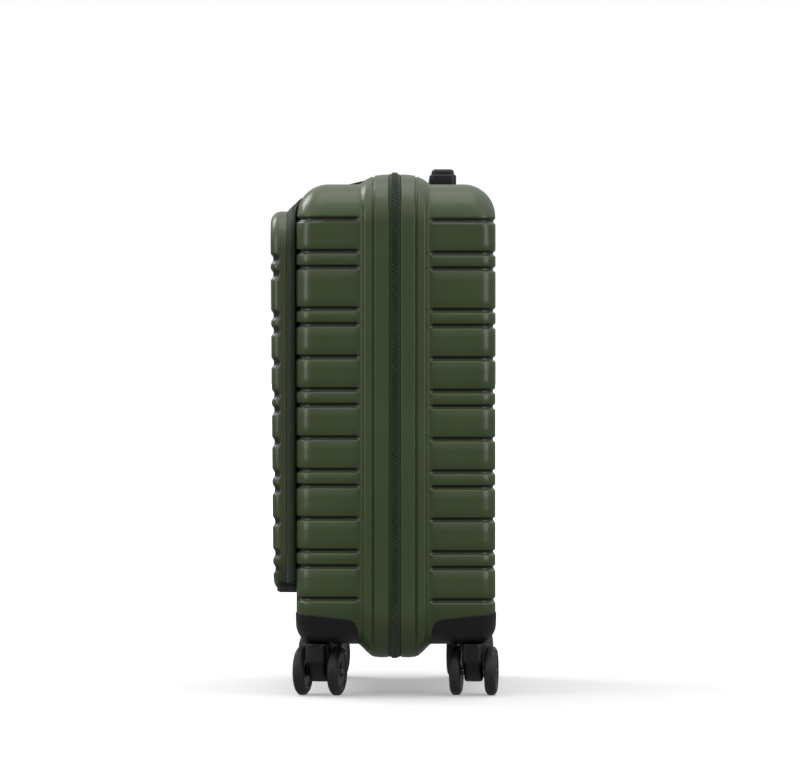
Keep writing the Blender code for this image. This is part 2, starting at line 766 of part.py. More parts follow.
# Zip sliders and their pull tabs, which reach to the lock
for hand, word in ((-1, "left"), (1, "right")):
    x = hand * 0.008
    run = mount(f"main_zip_run_{word}", (x, ZIP_Y, BAND_HIGH), parent=front_hinge)
    hold(slider(f"main_zip_slider_{word}", x, (ZIP_Y, 0.5436), 0), run)
    eye = mount(f"main_zip_eye_{word}", (x, 0.0056, 0.5462), parent=run)
    hold(puller(f"main_zip_puller_{word}", x, (0.0056, 0.5462), (-0.0403, 0.5350)), eye)
    x = hand * 0.0055
    run = mount(f"pocket_zip_run_{word}", (x, -0.0942, 0.5103), parent=front_hinge)
    hold(slider(f"pocket_zip_slider_{word}", x, (-0.09595, 0.51205), math.radians(45)), run)
    eye = mount(f"pocket_zip_eye_{word}", (x, -0.0927, 0.5171), parent=run)
    hold(puller(f"pocket_zip_puller_{word}", x, (-0.0927, 0.5171), (-0.0672, 0.5345)), eye)

# Caster pieces, made once about the stem and shared by the four corners
AXLE_Z = WHEEL_RADIUS
fork_outline = [(0.013, FORK_TOP), (0.013, 0.034), (0.004, 0.026)]
fork_outline += arc((-TRAIL, AXLE_Z), 0.0115, -60, -240, 7)
fork_outline += [(-0.012, FORK_TOP)]
fork = extruded("fork", fork_outline, -FORK_HALF_WIDTH, FORK_HALF_WIDTH, BLACK, "Y")
combine(fork, cylinder("plate", 0.014, (0, 0, FORK_TOP - 0.0006), (0, 0, PLATE_TOP), BLACK, 20), "UNION")
combine(fork, cylinder("stem", STEM_RADIUS, (0, 0, PLATE_TOP - 0.001), (0, 0, STEM_TOP), BLACK), "UNION")
bore = cylinder(
    "axle_bore", AXLE_RADIUS + BORE_GAP, (-TRAIL, -0.02, AXLE_Z), (-TRAIL, 0.02, AXLE_Z), BLACK, 12
)
combine(fork, bore)
axle_half = WHEEL_OFFSET + WHEEL_WIDTH / 2 - 0.0003
axle = cylinder(
    "axle", AXLE_RADIUS, (-TRAIL, -axle_half, AXLE_Z), (-TRAIL, axle_half, AXLE_Z), STEEL, 12
)
half = WHEEL_WIDTH / 2
wheel_profile = (
    (AXLE_RADIUS + BORE_GAP, -half),
    (0.0210, -half),
    (WHEEL_RADIUS, -0.0026),
    (WHEEL_RADIUS, 0.0026),
    (0.0210, half),
    (AXLE_RADIUS + BORE_GAP, half),
)
wheel = turned("wheel", wheel_profile, TREAD, 20)
wheel.data.transform(Matrix.Rotation(math.radians(90), 4, "X"))


def copy_of(pattern, name, place, parent):
    """A copy that shares the pattern's mesh, placed in its parent's own frame."""
    obj = bpy.data.objects.new(name, pattern.data)
    suitcase.objects.link(obj)
    obj.parent = parent
    obj.location = place
    return obj


corners = (
    ("front_left", -STEM_X, FRONT_STEM_Y, FRONT_YAW, front_hinge),
    ("front_right", STEM_X, FRONT_STEM_Y, FRONT_YAW, front_hinge),
    ("rear_left", -STEM_X, REAR_STEM_Y, REAR_YAW, None),
    ("rear_right", STEM_X, REAR_STEM_Y, REAR_YAW, None),
)
for corner, x, y, yaw, parent in corners:
    swivel = mount(f"swivel_{corner}", (x, y, 0), (0, 0, yaw), parent)
    copy_of(fork, f"caster_fork_{corner}", (0, 0, 0), swivel)
    copy_of(axle, f"caster_axle_{corner}", (0, 0, 0), swivel)
    for end, word in ((-1, "a"), (1, "b")):
        copy_of(wheel, f"wheel_{corner}_{word}", (-TRAIL, end * WHEEL_OFFSET, AXLE_Z), swivel)
for pattern in (fork, axle, wheel):
    bpy.data.objects.remove(pattern)

for obj in suitcase.objects:
    obj.data.shade_smooth()
    obj.data.set_sharp_from_angle(angle=math.radians(35))
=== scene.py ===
"""Looks of a hard shell cabin suitcase with a zipped front pocket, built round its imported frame.

Metres, +Z up. The case stands on the floor with its front, where the pocket lid is, towards -Y.
"""

import math

import bmesh
import bpy
import numpy as np
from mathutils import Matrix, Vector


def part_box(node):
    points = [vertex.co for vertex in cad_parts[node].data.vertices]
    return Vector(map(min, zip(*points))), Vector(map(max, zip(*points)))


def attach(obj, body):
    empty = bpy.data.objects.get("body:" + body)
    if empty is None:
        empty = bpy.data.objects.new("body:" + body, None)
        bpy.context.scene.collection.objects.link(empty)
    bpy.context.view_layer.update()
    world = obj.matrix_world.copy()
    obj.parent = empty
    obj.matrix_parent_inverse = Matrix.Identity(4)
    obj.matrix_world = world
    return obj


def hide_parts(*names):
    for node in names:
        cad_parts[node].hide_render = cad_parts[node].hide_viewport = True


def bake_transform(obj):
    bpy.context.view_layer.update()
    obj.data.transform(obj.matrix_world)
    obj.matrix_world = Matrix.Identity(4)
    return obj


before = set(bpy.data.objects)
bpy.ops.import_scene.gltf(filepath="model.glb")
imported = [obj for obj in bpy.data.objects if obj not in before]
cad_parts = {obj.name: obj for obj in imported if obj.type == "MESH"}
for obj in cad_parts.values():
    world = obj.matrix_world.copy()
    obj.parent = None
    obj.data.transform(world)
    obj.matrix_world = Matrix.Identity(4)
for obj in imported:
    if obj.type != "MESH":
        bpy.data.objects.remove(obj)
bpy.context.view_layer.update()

# ---- Half shells -----------------------------------------------------------------------------------------
# Two pressings of green polycarbonate sheet, vacuum formed over a mould whose level grooves stiffen the
# walls. Each has a raised band along its rim, where the main zip is sewn on, and a stepped shoulder behind
# the band. They leave the mould semi-gloss, with the faint orange peel of drawn sheet.

MM = 0.001
rear_low, rear_high = np.array(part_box("rear_shell"))
front_low, front_high = np.array(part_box("front_shell"))
ZIP_Y = (rear_low[1] + front_high[1]) / 2
HALF_WIDTH, HIGH, LOW = rear_high[0], rear_high[2], rear_low[2]
REAR_DEPTH = rear_high[1] - ZIP_Y
FRONT_DEPTH = ZIP_Y - front_low[1]
BAND_RADIUS = 50 * MM
RIBBED = np.array([9.0, 9.5, 15.0]) * MM
SIDE_ROUND, TOP_ROUND, FOOT_ROUND = 20 * MM, 33 * MM, 20 * MM
WALL = 2.8 * MM
CORE_X = HALF_WIDTH - BAND_RADIUS
# The rim's section as (distance from the zip, inset, reach of the rounding), in millimetres
RIM = (
    (6.1, 3.0, 0),
    (6.1, 0.35, 1.6),
    (13.4, 0.0, 5),
    (20.7, 0.35, 1.5),
    (21.3, 2.8, 0.5),
    (23.2, 2.8, 0.5),
    (23.7, 1.3, 0.9),
    (31.4, 2.4, 1.7),
    (34.3, 9.0, 1.9),
    (38.0, 9.0, 0),
)
# Over the top and foot the steps are eased into slopes, as (distance from the zip, inset), in millimetres
TOP_SLOPE = (
    *((13.4, 0), (20.7, 0.4), (21.3, 1.9), (23.2, 2.0), (23.7, 1.5)),
    *((27, 2.8), (31.4, 5.4), (34.3, 8.0), (38, 9.5)),
)
FOOT_SLOPE = ((13.4, 0), (20.7, 0.7), (24, 1.7), (27.5, 4.0), (32, 9.0), (36, 12.9), (38.5, 14.5), (40.5, 15))
CROWN, CROWN_REACH = 2.2 * MM, 21 * MM
BAND_SEAM = 22.2 * MM
# The sides are straight between these heights, in millimetres
SIDE_SPAN = np.array([97, 470])
INNER_RIM = (
    *((6.1, 3.0, 0), (20.0, 3.3, 0.6), (23.4, 5.9, 0.6)),
    *((31.0, 6.8, 0.6), (37.5, 11.8, 0.6), (40.0, 11.8, 0)),
)
# Grooves: single ones and close pairs repeat at one pitch, with one wide field below the top pair
PITCH = 83.2 * MM
SINGLES = 102.4 * MM + PITCH * np.arange(4)
PAIRS = 144.0 * MM + PITCH * np.arange(4)
PAIR_HALF = 8.1 * MM
TOP_PAIR, TOP_SINGLE = 452.7 * MM, 494.3 * MM
PAIRED = np.append(PAIRS, TOP_PAIR)
GROOVES = np.sort(np.concatenate([SINGLES, PAIRED - PAIR_HALF, PAIRED + PAIR_HALF, [TOP_SINGLE]]))
GROOVE_END = 40.2 * MM
GROOVE_HALF = 3.5 * MM
GROOVE_DEPTH = 2.5 * MM
REAR_DROP = 1.6 * MM


def linear(code):
    """A colour's sRGB hex code as the linear RGBA that shaders take."""
    values = np.array([int(code[i : i + 2], 16) for i in (1, 3, 5)]) / 255
    curve = np.where(values <= 0.04045, values / 12.92, ((values + 0.055) / 1.055) ** 2.4)
    return (*curve.tolist(), 1.0)


def add_node(tree, kind, inputs=None, stops=(), to=None, **settings):
    """Adds a node with its settings. inputs gives each named socket a value, or another socket to link.

    stops are a colour ramp's two (place, sRGB hex code) ends, and to is a socket the first output feeds.
    """
    node = tree.nodes.new(kind)
    for key, value in settings.items():
        setattr(node, key, value)
    for key, value in (inputs or {}).items():
        if isinstance(value, bpy.types.NodeSocket):
            tree.links.new(value, node.inputs[key])
        else:
            node.inputs[key].default_value = value
    if stops:
        for element, (position, code) in zip(node.color_ramp.elements, stops):
            element.position, element.color = position, linear(code)
    if to:
        tree.links.new(node.outputs[0], to)
    return node


def start_finish(name, colour, roughness, metallic=0.0, **sockets):
    """A material with its Principled shader set, and its texture coordinates.

    sockets are other inputs of the shader, named with underlines for their spaces.
    """
    made = bpy.data.materials.new(name)
    made.use_nodes = True
    tree = made.node_tree
    shader = tree.nodes["Principled BSDF"]
    shader.inputs["Base Color"].default_value = linear(colour)
    shader.inputs["Roughness"].default_value = roughness
    shader.inputs["Metallic"].default_value = metallic
    for key, value in sockets.items():
        shader.inputs[key.replace("_", " ")].default_value = value
    return made, tree, shader, add_node(tree, "ShaderNodeTexCoord")


def uneven(name, colour, rough, colours, spread, roughness, grain, height, metallic=0.0, **sockets):
    """Finish of a moulded, cast or turned solid: slow drifts of colour and roughness, and a fine grain.

    colours and roughness are the two ends of the drift. spread and grain are how often the drift and the
    grain repeat in a metre, and height is the grain's depth. colour and rough stand for them when plain.
    """
    made, tree, shader, place = start_finish(name, colour, rough, metallic, **sockets)
    place = place.outputs["Object"]
    drift = add_node(tree, "ShaderNodeTexNoise", {"Vector": place, "Scale": spread, "Detail": 4.0})
    stops = ((0.3, colours[0]), (0.7, colours[1]))
    add_node(tree, "ShaderNodeValToRGB", {"Fac": drift.outputs["Fac"]}, stops, shader.inputs["Base Color"])
    reach = {"From Min": 0.3, "From Max": 0.7, "To Min": roughness[0], "To Max": roughness[1]}
    reach["Value"] = drift.outputs["Fac"]
    add_node(tree, "ShaderNodeMapRange", reach, to=shader.inputs["Roughness"])
    peel = add_node(tree, "ShaderNodeTexNoise", {"Vector": place, "Scale": grain, "Detail": 2.0})
    relief = {"Height": peel.outputs["Fac"], "Strength": 0.35, "Distance": height}
    add_node(tree, "ShaderNodeBump", relief, to=shader.inputs["Normal"])
    return made


# Vacuum formed polycarbonate, coloured through: semi-gloss, a hard clear skin over a faint peel
hard_skin = {"IOR": 1.58, "Coat_Weight": 0.35, "Coat_Roughness": 0.16}
greens = ("#3f5128", "#46582f")
GREEN_SHEET = uneven(
    "pressed_polycarbonate", "#3e4f28", 0.36, greens, 9.0, (0.33, 0.41), 900.0, 0.00006, **hard_skin
)
# Painted shade: a near black mixed into the colour darkens the upper side of each groove and the seam between
# the bands
tree = GREEN_SHEET.node_tree
base_colour = tree.nodes["Principled BSDF"].inputs["Base Color"]
shade_amount = add_node(tree, "ShaderNodeAttribute", attribute_name="painted_shade")
mixed = {0: shade_amount.outputs["Fac"], 6: base_colour.links[0].from_socket, 7: linear("#0b0f07")}
shaded_colour = add_node(tree, "ShaderNodeMix", mixed, data_type="RGBA")
tree.links.new(shaded_colour.outputs[2], base_colour)


def surface(name, patches, finish, crease=38, maps=None, painted_shade=None):
    """One mesh of several grids of points. Each grid is (rows, columns, 3), and four neighbours are a quad.

    Points that meet are welded, so a closed form repeats its first row or column. maps gives each grid its
    texture coordinates, (rows, columns, 2), and the last argument gives each of its points a number that the
    material reads: the strength of painted shade.
    """
    points, quads, corners = [], [], []
    first = 0
    for number, patch in enumerate(patches):
        rows, columns = patch.shape[:2]
        grid = first + np.arange(rows * columns).reshape(rows, columns)
        cells = np.stack([grid[:-1, :-1], grid[:-1, 1:], grid[1:, 1:], grid[1:, :-1]], axis=-1).reshape(-1, 4)
        points.append(patch.reshape(-1, 3))
        quads.append(cells)
        if maps is not None:
            corners.append(maps[number].reshape(-1, 2))
        first += rows * columns
    mesh = bpy.data.meshes.new(name)
    quads = np.concatenate(quads)
    mesh.from_pydata(np.concatenate(points), [], quads)
    if maps is not None:
        layer = mesh.uv_layers.new(name="UVMap")
        layer.data.foreach_set("uv", np.concatenate(corners)[quads.reshape(-1)].reshape(-1))
    if painted_shade is not None:
        layer = mesh.attributes.new("painted_shade", "FLOAT", "POINT")
        layer.data.foreach_set("value", np.concatenate([values.reshape(-1) for values in painted_shade]))
    bm = bmesh.new()
    bm.from_mesh(mesh)
    bmesh.ops.remove_doubles(bm, verts=bm.verts, dist=0.000002)
    bmesh.ops.recalc_face_normals(bm, faces=bm.faces)
    bm.to_mesh(mesh)
    bm.free()
    mesh.materials.append(finish)
    mesh.shade_smooth()
    mesh.set_sharp_from_angle(angle=math.radians(crease))
    obj = bpy.data.objects.new(name, mesh)
    bpy.context.scene.collection.objects.link(obj)
    return obj


def filleted(corners, steps=4):
    """A line through (a, b, reach) corners, each rounded by a parabola that starts at reach before it."""
    data = np.array(corners, float)
    line, reach = data[:, :2], data[1:-1, 2:, None]
    middle = line[1:-1, None]
    before = line[:-2, None] - middle
    after = line[2:, None] - middle
    before /= np.linalg.norm(before, axis=-1, keepdims=True)
    after /= np.linalg.norm(after, axis=-1, keepdims=True)
    t = np.linspace(0, 1, steps + 1)[None, :, None]
    curve = middle + before * reach * (1 - t) ** 2 + after * reach * t**2
    return np.concatenate([line[:1], curve.reshape(-1, 2), line[-1:]])


def turned_in(radius, left):
    """Inset of a round edge where left is the distance still to go to the wall: part of a circle."""
    return radius - np.sqrt(radius**2 - np.maximum(0, radius - left) ** 2)


def outlines(half_width, low, high, radius, levels, corners, across):
    """Closed outlines of upright rounded rectangles in (x, z), one for each entry of the first four arrays.

    Up the right side they run through the lower corner, straight through the given levels and through the
    upper corner; corners is the number of steps in the two corners. They cross the top, come down the left
    side as a mirror image, and cross the foot. Returns them with the number of points on one side.
    """
    half_width, low, high, radius = (np.atleast_1d(v)[:, None] for v in (half_width, low, high, radius))
    core = half_width - radius
    quarter = radius * math.pi / 2
    length = np.linspace(0, 1, corners[0] + 1) * (quarter + levels[0] - low - radius)
    angle = np.minimum(length, quarter) / radius - math.pi / 2
    foot_x = core + radius * np.cos(angle)
    foot_z = low + radius + radius * np.sin(angle) + np.maximum(0, length - quarter)
    rise = high - radius - levels[-1]
    length = np.linspace(0, 1, corners[1] + 1)[1:] * (quarter + rise)
    angle = np.maximum(0, length - rise) / radius
    head_x = core + radius * np.cos(angle)
    head_z = levels[-1] + np.minimum(length, rise) + radius * np.sin(angle)
    straight = levels[1:] + 0 * half_width
    side_x = np.concatenate([foot_x, half_width + 0 * straight, head_x], axis=1)
    side_z = np.concatenate([foot_z, straight, head_z], axis=1)
    span = np.linspace(1, -1, across + 1)[1:-1]
    level = 0 * span * core
    x = np.concatenate([side_x, core * span, -side_x[:, ::-1], -core * span, side_x[:, :1]], axis=1)
    z = np.concatenate([side_z, high + level, side_z[:, ::-1], low + level, side_z[:, :1]], axis=1)
    return np.stack([x, z], axis=-1), side_x.shape[1]


def placed(outline, y):
    """Outlines of (x, z) at a depth y for each."""
    depth = np.broadcast_to(np.asarray(y, float).reshape(-1, 1), outline.shape[:2])
    return np.stack([outline[..., 0], depth, outline[..., 1]], axis=-1)


def cap(loop, side, across):
    """A level-rowed grid that fills a closed outline: each row runs from the right side to the left."""
    right = loop[:side]
    left = right * [-1, 1, 1]
    share = np.linspace(0, 1, across + 1)[None, :, None]
    grid = right[:, None] * (1 - share) + left[:, None] * share
    grid[:, 0], grid[:, -1] = right, left
    return grid


def groove_levels(first, last, heights, half, spacing):
    """Heights of grid lines: close together across each groove, and otherwise evenly spaced."""
    offsets = np.array([-1, -0.84, -0.68, -0.52, -0.36, -0.2, 0, 0.2, 0.36, 0.52, 0.68, 0.84, 1])
    near = (heights[:, None] + offsets * half).ravel()
    near = np.sort(near[(near > first) & (near < last)])
    stops = np.concatenate([[first], near, [last]])
    counts = np.maximum(1, np.round(np.diff(stops) / spacing)).astype(int)
    pieces = [np.linspace(a, b, n, endpoint=False) for a, b, n in zip(stops[:-1], stops[1:], counts)]
    return np.concatenate(pieces + [[last]])


def outward(grid):
    """Unit normals of a grid of points, turned away from the case's middle."""
    normal = np.cross(np.gradient(grid, axis=0), np.gradient(grid, axis=1))
    normal /= np.maximum(np.linalg.norm(normal, axis=-1, keepdims=True), 1e-12)
    middle = np.array([0, ZIP_Y, (LOW + HIGH) / 2])
    sign = np.sign(np.sum(normal * (grid - middle)))
    return normal * sign


def groove_shape(distance, half):
    """A groove's section: level across its bottom fifth, then 1 - t^2 (3 - 2 t) up to the wall."""
    t = np.clip((distance / half - 0.2) / 0.8, 0, 1)
    return 1 - t**2 * (3 - 2 * t)


def painted_shade_of_grooves(grid, heights, half, end):
    """Strength of painted shade, from 0 to 1: the upper side of each groove, fading to its lip, and the
    seam between the two bands beside the zip.
    """
    gap = grid[..., 2, None] - heights
    nearest = np.take_along_axis(gap, np.abs(gap).argmin(axis=-1)[..., None], axis=-1)[..., 0] / half
    past = np.maximum(0, end - np.abs(grid[..., 1] - ZIP_Y)) / half
    upper = np.clip(1.4 + 2.6 * nearest, 0, 1)
    seam = np.clip(1.6 - np.abs(np.abs(grid[..., 1] - ZIP_Y) - BAND_SEAM) / MM, 0, 0.4)
    return np.maximum(seam, upper * np.clip(1.25 - np.hypot(nearest, past) ** 2 * 1.3, 0, 1))


def pressed(grid, normals, heights):
    """Presses the level grooves in. Each ends in a half round, short of the shoulder."""
    rise = np.abs(grid[..., 2, None] - heights).min(axis=-1)
    past = np.maximum(0, GROOVE_END - np.abs(grid[..., 1] - ZIP_Y))
    depth = GROOVE_DEPTH * groove_shape(np.hypot(rise, past), GROOVE_HALF)
    return grid - normals * depth[..., None]


def crown(distance):
    """How far the bands rise over the case's top: CROWN times (1 - distance / CROWN_REACH) to the 1.5."""
    return CROWN * np.maximum(0, 1 - distance / CROWN_REACH) ** 1.5


def eased(distance, inset, slope):
    """Insets that follow a slope's table from its first distance on."""
    table = np.array(slope) * MM
    return np.where(distance < table[0, 0], inset, np.interp(distance, table[:, 0], table[:, 1]))


def half_section(depth):
    """Stations across one half shell: distance from the zip, and the insets of its sides, top and foot."""
    rim = filleted(RIM) * MM
    left = TOP_ROUND * (1 - np.sin(np.radians(np.linspace(0, 90, 23))))
    ends = np.arange(38.8, 46, 0.8) * MM
    distance = np.concatenate([rim[:, 0], ends, [(ends[-1] + depth - TOP_ROUND) / 2], depth - left])
    share = np.concatenate([rim[:, 1] / RIBBED[0], np.ones(len(ends) + 1), np.ones(len(left))])
    left = depth - distance
    inset = RIBBED[0] * share
    top = eased(distance, inset, TOP_SLOPE) - crown(distance) + turned_in(TOP_ROUND, left)
    foot = eased(distance, inset, FOOT_SLOPE) + turned_in(FOOT_ROUND, left)
    return distance, inset + turned_in(SIDE_ROUND, left), top, foot


def inner_section(depth):
    """The same for the inside of the wall, which the grooves don't reach."""
    rim = filleted(INNER_RIM, 2) * MM
    inner_top = TOP_ROUND - WALL
    left = inner_top * (1 - np.sin(np.radians(np.linspace(0, 90, 7))))
    distance = np.concatenate([rim[:, 0], depth - WALL - left])
    inset = np.concatenate([rim[:, 1], np.full(len(left), INNER_RIM[-1][1] * MM)])
    left = depth - WALL - distance
    share = np.minimum(1, (inset - WALL) / RIBBED[0])
    side = inset + turned_in(SIDE_ROUND - WALL, left)
    top = WALL + share * RIBBED[1] + turned_in(inner_top, left)
    return distance, side, top, WALL + share * RIBBED[2] + turned_in(FOOT_ROUND - WALL, left)


def half_rings(section, side, levels):
    """Rings of one half shell through the stations of its section."""
    distance, inset, inset_top, inset_foot = section
    half_width = HALF_WIDTH - inset
    loops, count = outlines(
        half_width, LOW + inset_foot, HIGH - inset_top, half_width - CORE_X, levels, (26, 84), 28
    )
    return placed(loops, ZIP_Y + side * distance), count


# Rear half: its outer wall is closed
rear_grooves = GROOVES - REAR_DROP
rear_levels = groove_levels(*SIDE_SPAN * MM, rear_grooves[:-1], GROOVE_HALF, 8 * MM)
skin, count = half_rings(half_section(REAR_DEPTH), 1, rear_levels)
shade_amount = [painted_shade_of_grooves(skin, rear_grooves, GROOVE_HALF, GROOVE_END)]
skin = pressed(skin, outward(skin), rear_grooves)
back = cap(skin[-1], count, 28)
back[..., 1] = rear_high[1]
shade_amount.append(painted_shade_of_grooves(back, rear_grooves, GROOVE_HALF, GROOVE_END))
back = pressed(back, np.array([0, 1.0, 0]) + 0 * back, rear_grooves)
back[:, 0], back[:, -1] = skin[-1][:count], skin[-1][:count] * [-1, 1, 1]
back[-1], back[0] = skin[-1][count - 1 : count + 28], cap(skin[-1], count, 28)[0]
inner_side, _ = half_rings(inner_section(REAR_DEPTH), 1, rear_levels)
inner_back = cap(inner_side[-1], count, 28)
shade_amount += [0 * inner_side[..., 0], 0 * inner_back[..., 0]]
rear_pressing = surface("rear_shell_pressing", [skin, back, inner_side, inner_back], GREEN_SHEET, painted_shade=shade_amount)
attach(rear_pressing, "rear_case")
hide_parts("rear_shell")

# Front half: its wall is cut away inside the pocket's opening
POCKET_CORE = np.array([108, 156, 454]) * MM
POCKET_RADIUS = 34 * MM


def cut_edge(ring, core, radius):
    """A ring drawn in to the edge of a rounded opening: each point moves straight at the opening's core."""
    x = np.clip(ring[..., 0], -core[0], core[0])
    z = np.clip(ring[..., 2], core[1], core[2])
    out = np.stack([ring[..., 0] - x, 0 * x, ring[..., 2] - z], axis=-1)
    out *= radius / np.linalg.norm(out, axis=-1, keepdims=True)
    return np.stack([x, ring[..., 1], z], axis=-1) + out


shell_levels = groove_levels(*SIDE_SPAN * MM, GROOVES[:-1], GROOVE_HALF, 8 * MM)
skin, count = half_rings(half_section(FRONT_DEPTH), -1, shell_levels)
shade_amount = painted_shade_of_grooves(skin, GROOVES, GROOVE_HALF, GROOVE_END)
skin = pressed(skin, outward(skin), GROOVES)
inside, _ = half_rings(inner_section(FRONT_DEPTH), -1, shell_levels)
wall_edge = skin[-1].copy()
wall_edge[:, 1] = front_low[1]
outer_edge = cut_edge(wall_edge, POCKET_CORE, POCKET_RADIUS)
inner_edge = outer_edge + [0, WALL, 0]
pressing = np.concatenate([skin, outer_edge[None], inner_edge[None], inside[::-1]])
shade_amount = np.concatenate([shade_amount, np.zeros((len(pressing) - len(shade_amount), pressing.shape[1]))])
front_pressing = surface("front_shell_pressing", [pressing], GREEN_SHEET, painted_shade=[shade_amount])
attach(front_pressing, "front_case")
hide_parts("front_shell")

# ---- Corner guards ---------------------------------------------------------------------------------------
# Four black nylon mouldings that wrap the lower corners and carry the casters. They are riveted on from
# inside. Injection moulded with a spark-eroded texture, so satin, with a soft raised border.

GUARD_PROUD = 0.9 * MM
GUARD_WALL = 3.2 * MM
GUARD_INNER_X = 104 * MM
# Top edge in the side view as (distance from the zip, height, reach), in millimetres
GUARD_TOP = ((35.2, 57, 0), (38.8, 71, 3), (42.6, 79, 4), (49, 82, 3), (96, 87.5, 6), (113, 89.5, 0))

# Glass-filled nylon from a textured mould: satin black, slightly grey where it catches light
BLACK_NYLON = uneven(
    "moulded_nylon", "#151516", 0.42, ("#131314", "#181819"), 20.0, (0.38, 0.48), 1400.0, 0.00005, IOR=1.53
)


def thicken(piece, thickness, offset=0):
    """Gives a sheet its thickness: half on each side of it, or with an offset of -1 all on its inside."""
    wall = piece.modifiers.new("thickness", "SOLIDIFY")
    wall.thickness = thickness
    wall.offset = offset


def corner_guard(end, side, word, hand, depth):
    """A skin round the lower corner: across the foot, round the corner and up to the guard's top edge."""
    line = filleted(GUARD_TOP, 5) * MM
    left = TOP_ROUND * (1 - np.sin(np.radians(np.linspace(0, 90, 19))))
    distance = np.unique(np.concatenate([line[line[:, 0] < depth - TOP_ROUND, 0], depth - left]))
    height = np.interp(distance, line[:, 0], line[:, 1])
    left = depth - distance
    half_width = HALF_WIDTH - RIBBED[0] - turned_in(SIDE_ROUND, left)
    foot = LOW + RIBBED[2] + turned_in(FOOT_ROUND, left)
    radius = half_width - CORE_X
    share = (np.maximum(height, foot + 1.5 * MM) - foot - radius) / radius
    sweep = np.arcsin(np.clip(share, -1, 1)) + math.pi / 2
    # Length along the section: the foot's straight run, then the corner's arc
    run = CORE_X - GUARD_INNER_X
    length = (run + radius * sweep)[:, None] * (1 - np.cos(np.linspace(0, math.pi, 41))) / 2
    angle = np.maximum(0, length - run) / radius[:, None] - math.pi / 2
    x = GUARD_INNER_X + np.minimum(length, run) + radius[:, None] * np.cos(angle)
    z = foot[:, None] + radius[:, None] * (1 + np.sin(angle))
    y = ZIP_Y + side * np.broadcast_to(distance[:, None], x.shape)
    skin = np.stack([hand * x, y, z], axis=-1)
    # The end on the outer wall: from the last section straight to an L-shaped inner edge
    outer = skin[-1]
    goal_z = height[-1]
    turn = np.linspace(0, 1, len(outer))
    legs = np.array([goal_z - outer[0, 2], abs(outer[-1, 0]) - GUARD_INNER_X])
    reach = turn * legs.sum()
    inner_x = GUARD_INNER_X + np.maximum(0, reach - legs[0])
    inner_z = outer[0, 2] + np.minimum(reach, legs[0])
    inner = np.stack([hand * inner_x, 0 * inner_x + outer[0, 1], inner_z], axis=-1)
    steps = np.linspace(0, 1, 9)[1:, None, None]
    skin = np.concatenate([skin, outer * (1 - steps) + inner * steps])
    # It stands proud of the shell, less so within a rounded border
    edge = np.minimum(np.minimum(length, (length[:, -1:] - length)), (distance - distance[0])[:, None])
    wall_z = goal_z - skin[-8:, :, 2]
    wall_x = np.abs(skin[-8:, :, 0]) - GUARD_INNER_X
    edge = np.concatenate([edge, np.minimum(wall_z, wall_x)])
    lift = GUARD_PROUD * np.sqrt(1 - np.clip(1 - edge / (1.6 * MM), 0, 1) ** 2)
    normals = outward(skin)
    normals[-8:] = [0, side, 0]
    guard = surface(f"guard_{end}_{word}", [skin + normals * lift[..., None]], BLACK_NYLON)
    thicken(guard, GUARD_WALL, -1)
    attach(guard, f"{end}_case")
    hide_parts(f"corner_guard_{end}_{word}")


for side, depth, end in ((1, REAR_DEPTH, "rear"), (-1, FRONT_DEPTH, "front")):
    for hand, word in ((-1, "left"), (1, "right")):
        corner_guard(end, side, word, hand, depth)

# ---- Main zip --------------------------------------------------------------------------------------------
# A coarse moulded-tooth zip chain right round the case. Its woven tape is sewn into both rims, and its
# teeth stand proud between the bands. It is dyed to match the shell, and darker, as cloth swallows light.

TOOTH_PITCH = 2.7 * MM


def woven_tape(name, dark, light):
    """Woven polyester tape: fine ribs along its length, drawn at 0.8 mm so that they show."""
    made, tree, shader, place = start_finish(name, dark, 0.85, Sheen_Weight=0.25)
    ribs = {"Vector": place.outputs["UV"], "Scale": 400.0, "Distortion": 0.6}
    wave = add_node(tree, "ShaderNodeTexWave", ribs)
    colours = ((0.1, dark), (0.9, light))
    add_node(tree, "ShaderNodeValToRGB", {"Fac": wave.outputs["Fac"]}, colours, shader.inputs["Base Color"])
    relief = {"Height": wave.outputs["Fac"], "Strength": 0.5, "Distance": 0.0003}
    add_node(tree, "ShaderNodeBump", relief, to=shader.inputs["Normal"])
    return made


TAPE = woven_tape("woven_tape", "#212e1e", "#35462f")
# Acetal zip teeth: smooth and slightly shiny, a little lighter than the tape they grip
TEETH = uneven(
    "moulded_teeth", "#3a4a34", 0.35, ("#34432e", "#43543b"), 60.0, (0.3, 0.42), 1500.0, 0.00004, IOR=1.48
)
even_levels = np.linspace(*SIDE_SPAN, 60) * MM


def along(line):
    """Distance travelled to each point of a line, or of each line of a grid."""
    steps = np.linalg.norm(np.diff(line, axis=-2), axis=-1)
    return np.concatenate([0 * steps[..., :1], np.cumsum(steps, axis=-1)], axis=-1)


def strip_maps(grid):
    """Texture coordinates in metres: along the rows of a grid, and across them."""
    u = along(grid)
    v = along(np.swapaxes(grid, 0, 1)).T
    return np.stack([u, v], axis=-1)


def rim_ring(distance, inset, side):
    """Rings parallel to the rim, with the same inset all round."""
    half_width = HALF_WIDTH - inset
    high = HIGH - inset + crown(distance)
    loops, _ = outlines(half_width, LOW + inset, high, half_width - CORE_X, even_levels, (16, 16), 30)
    return placed(loops, ZIP_Y + side * distance)


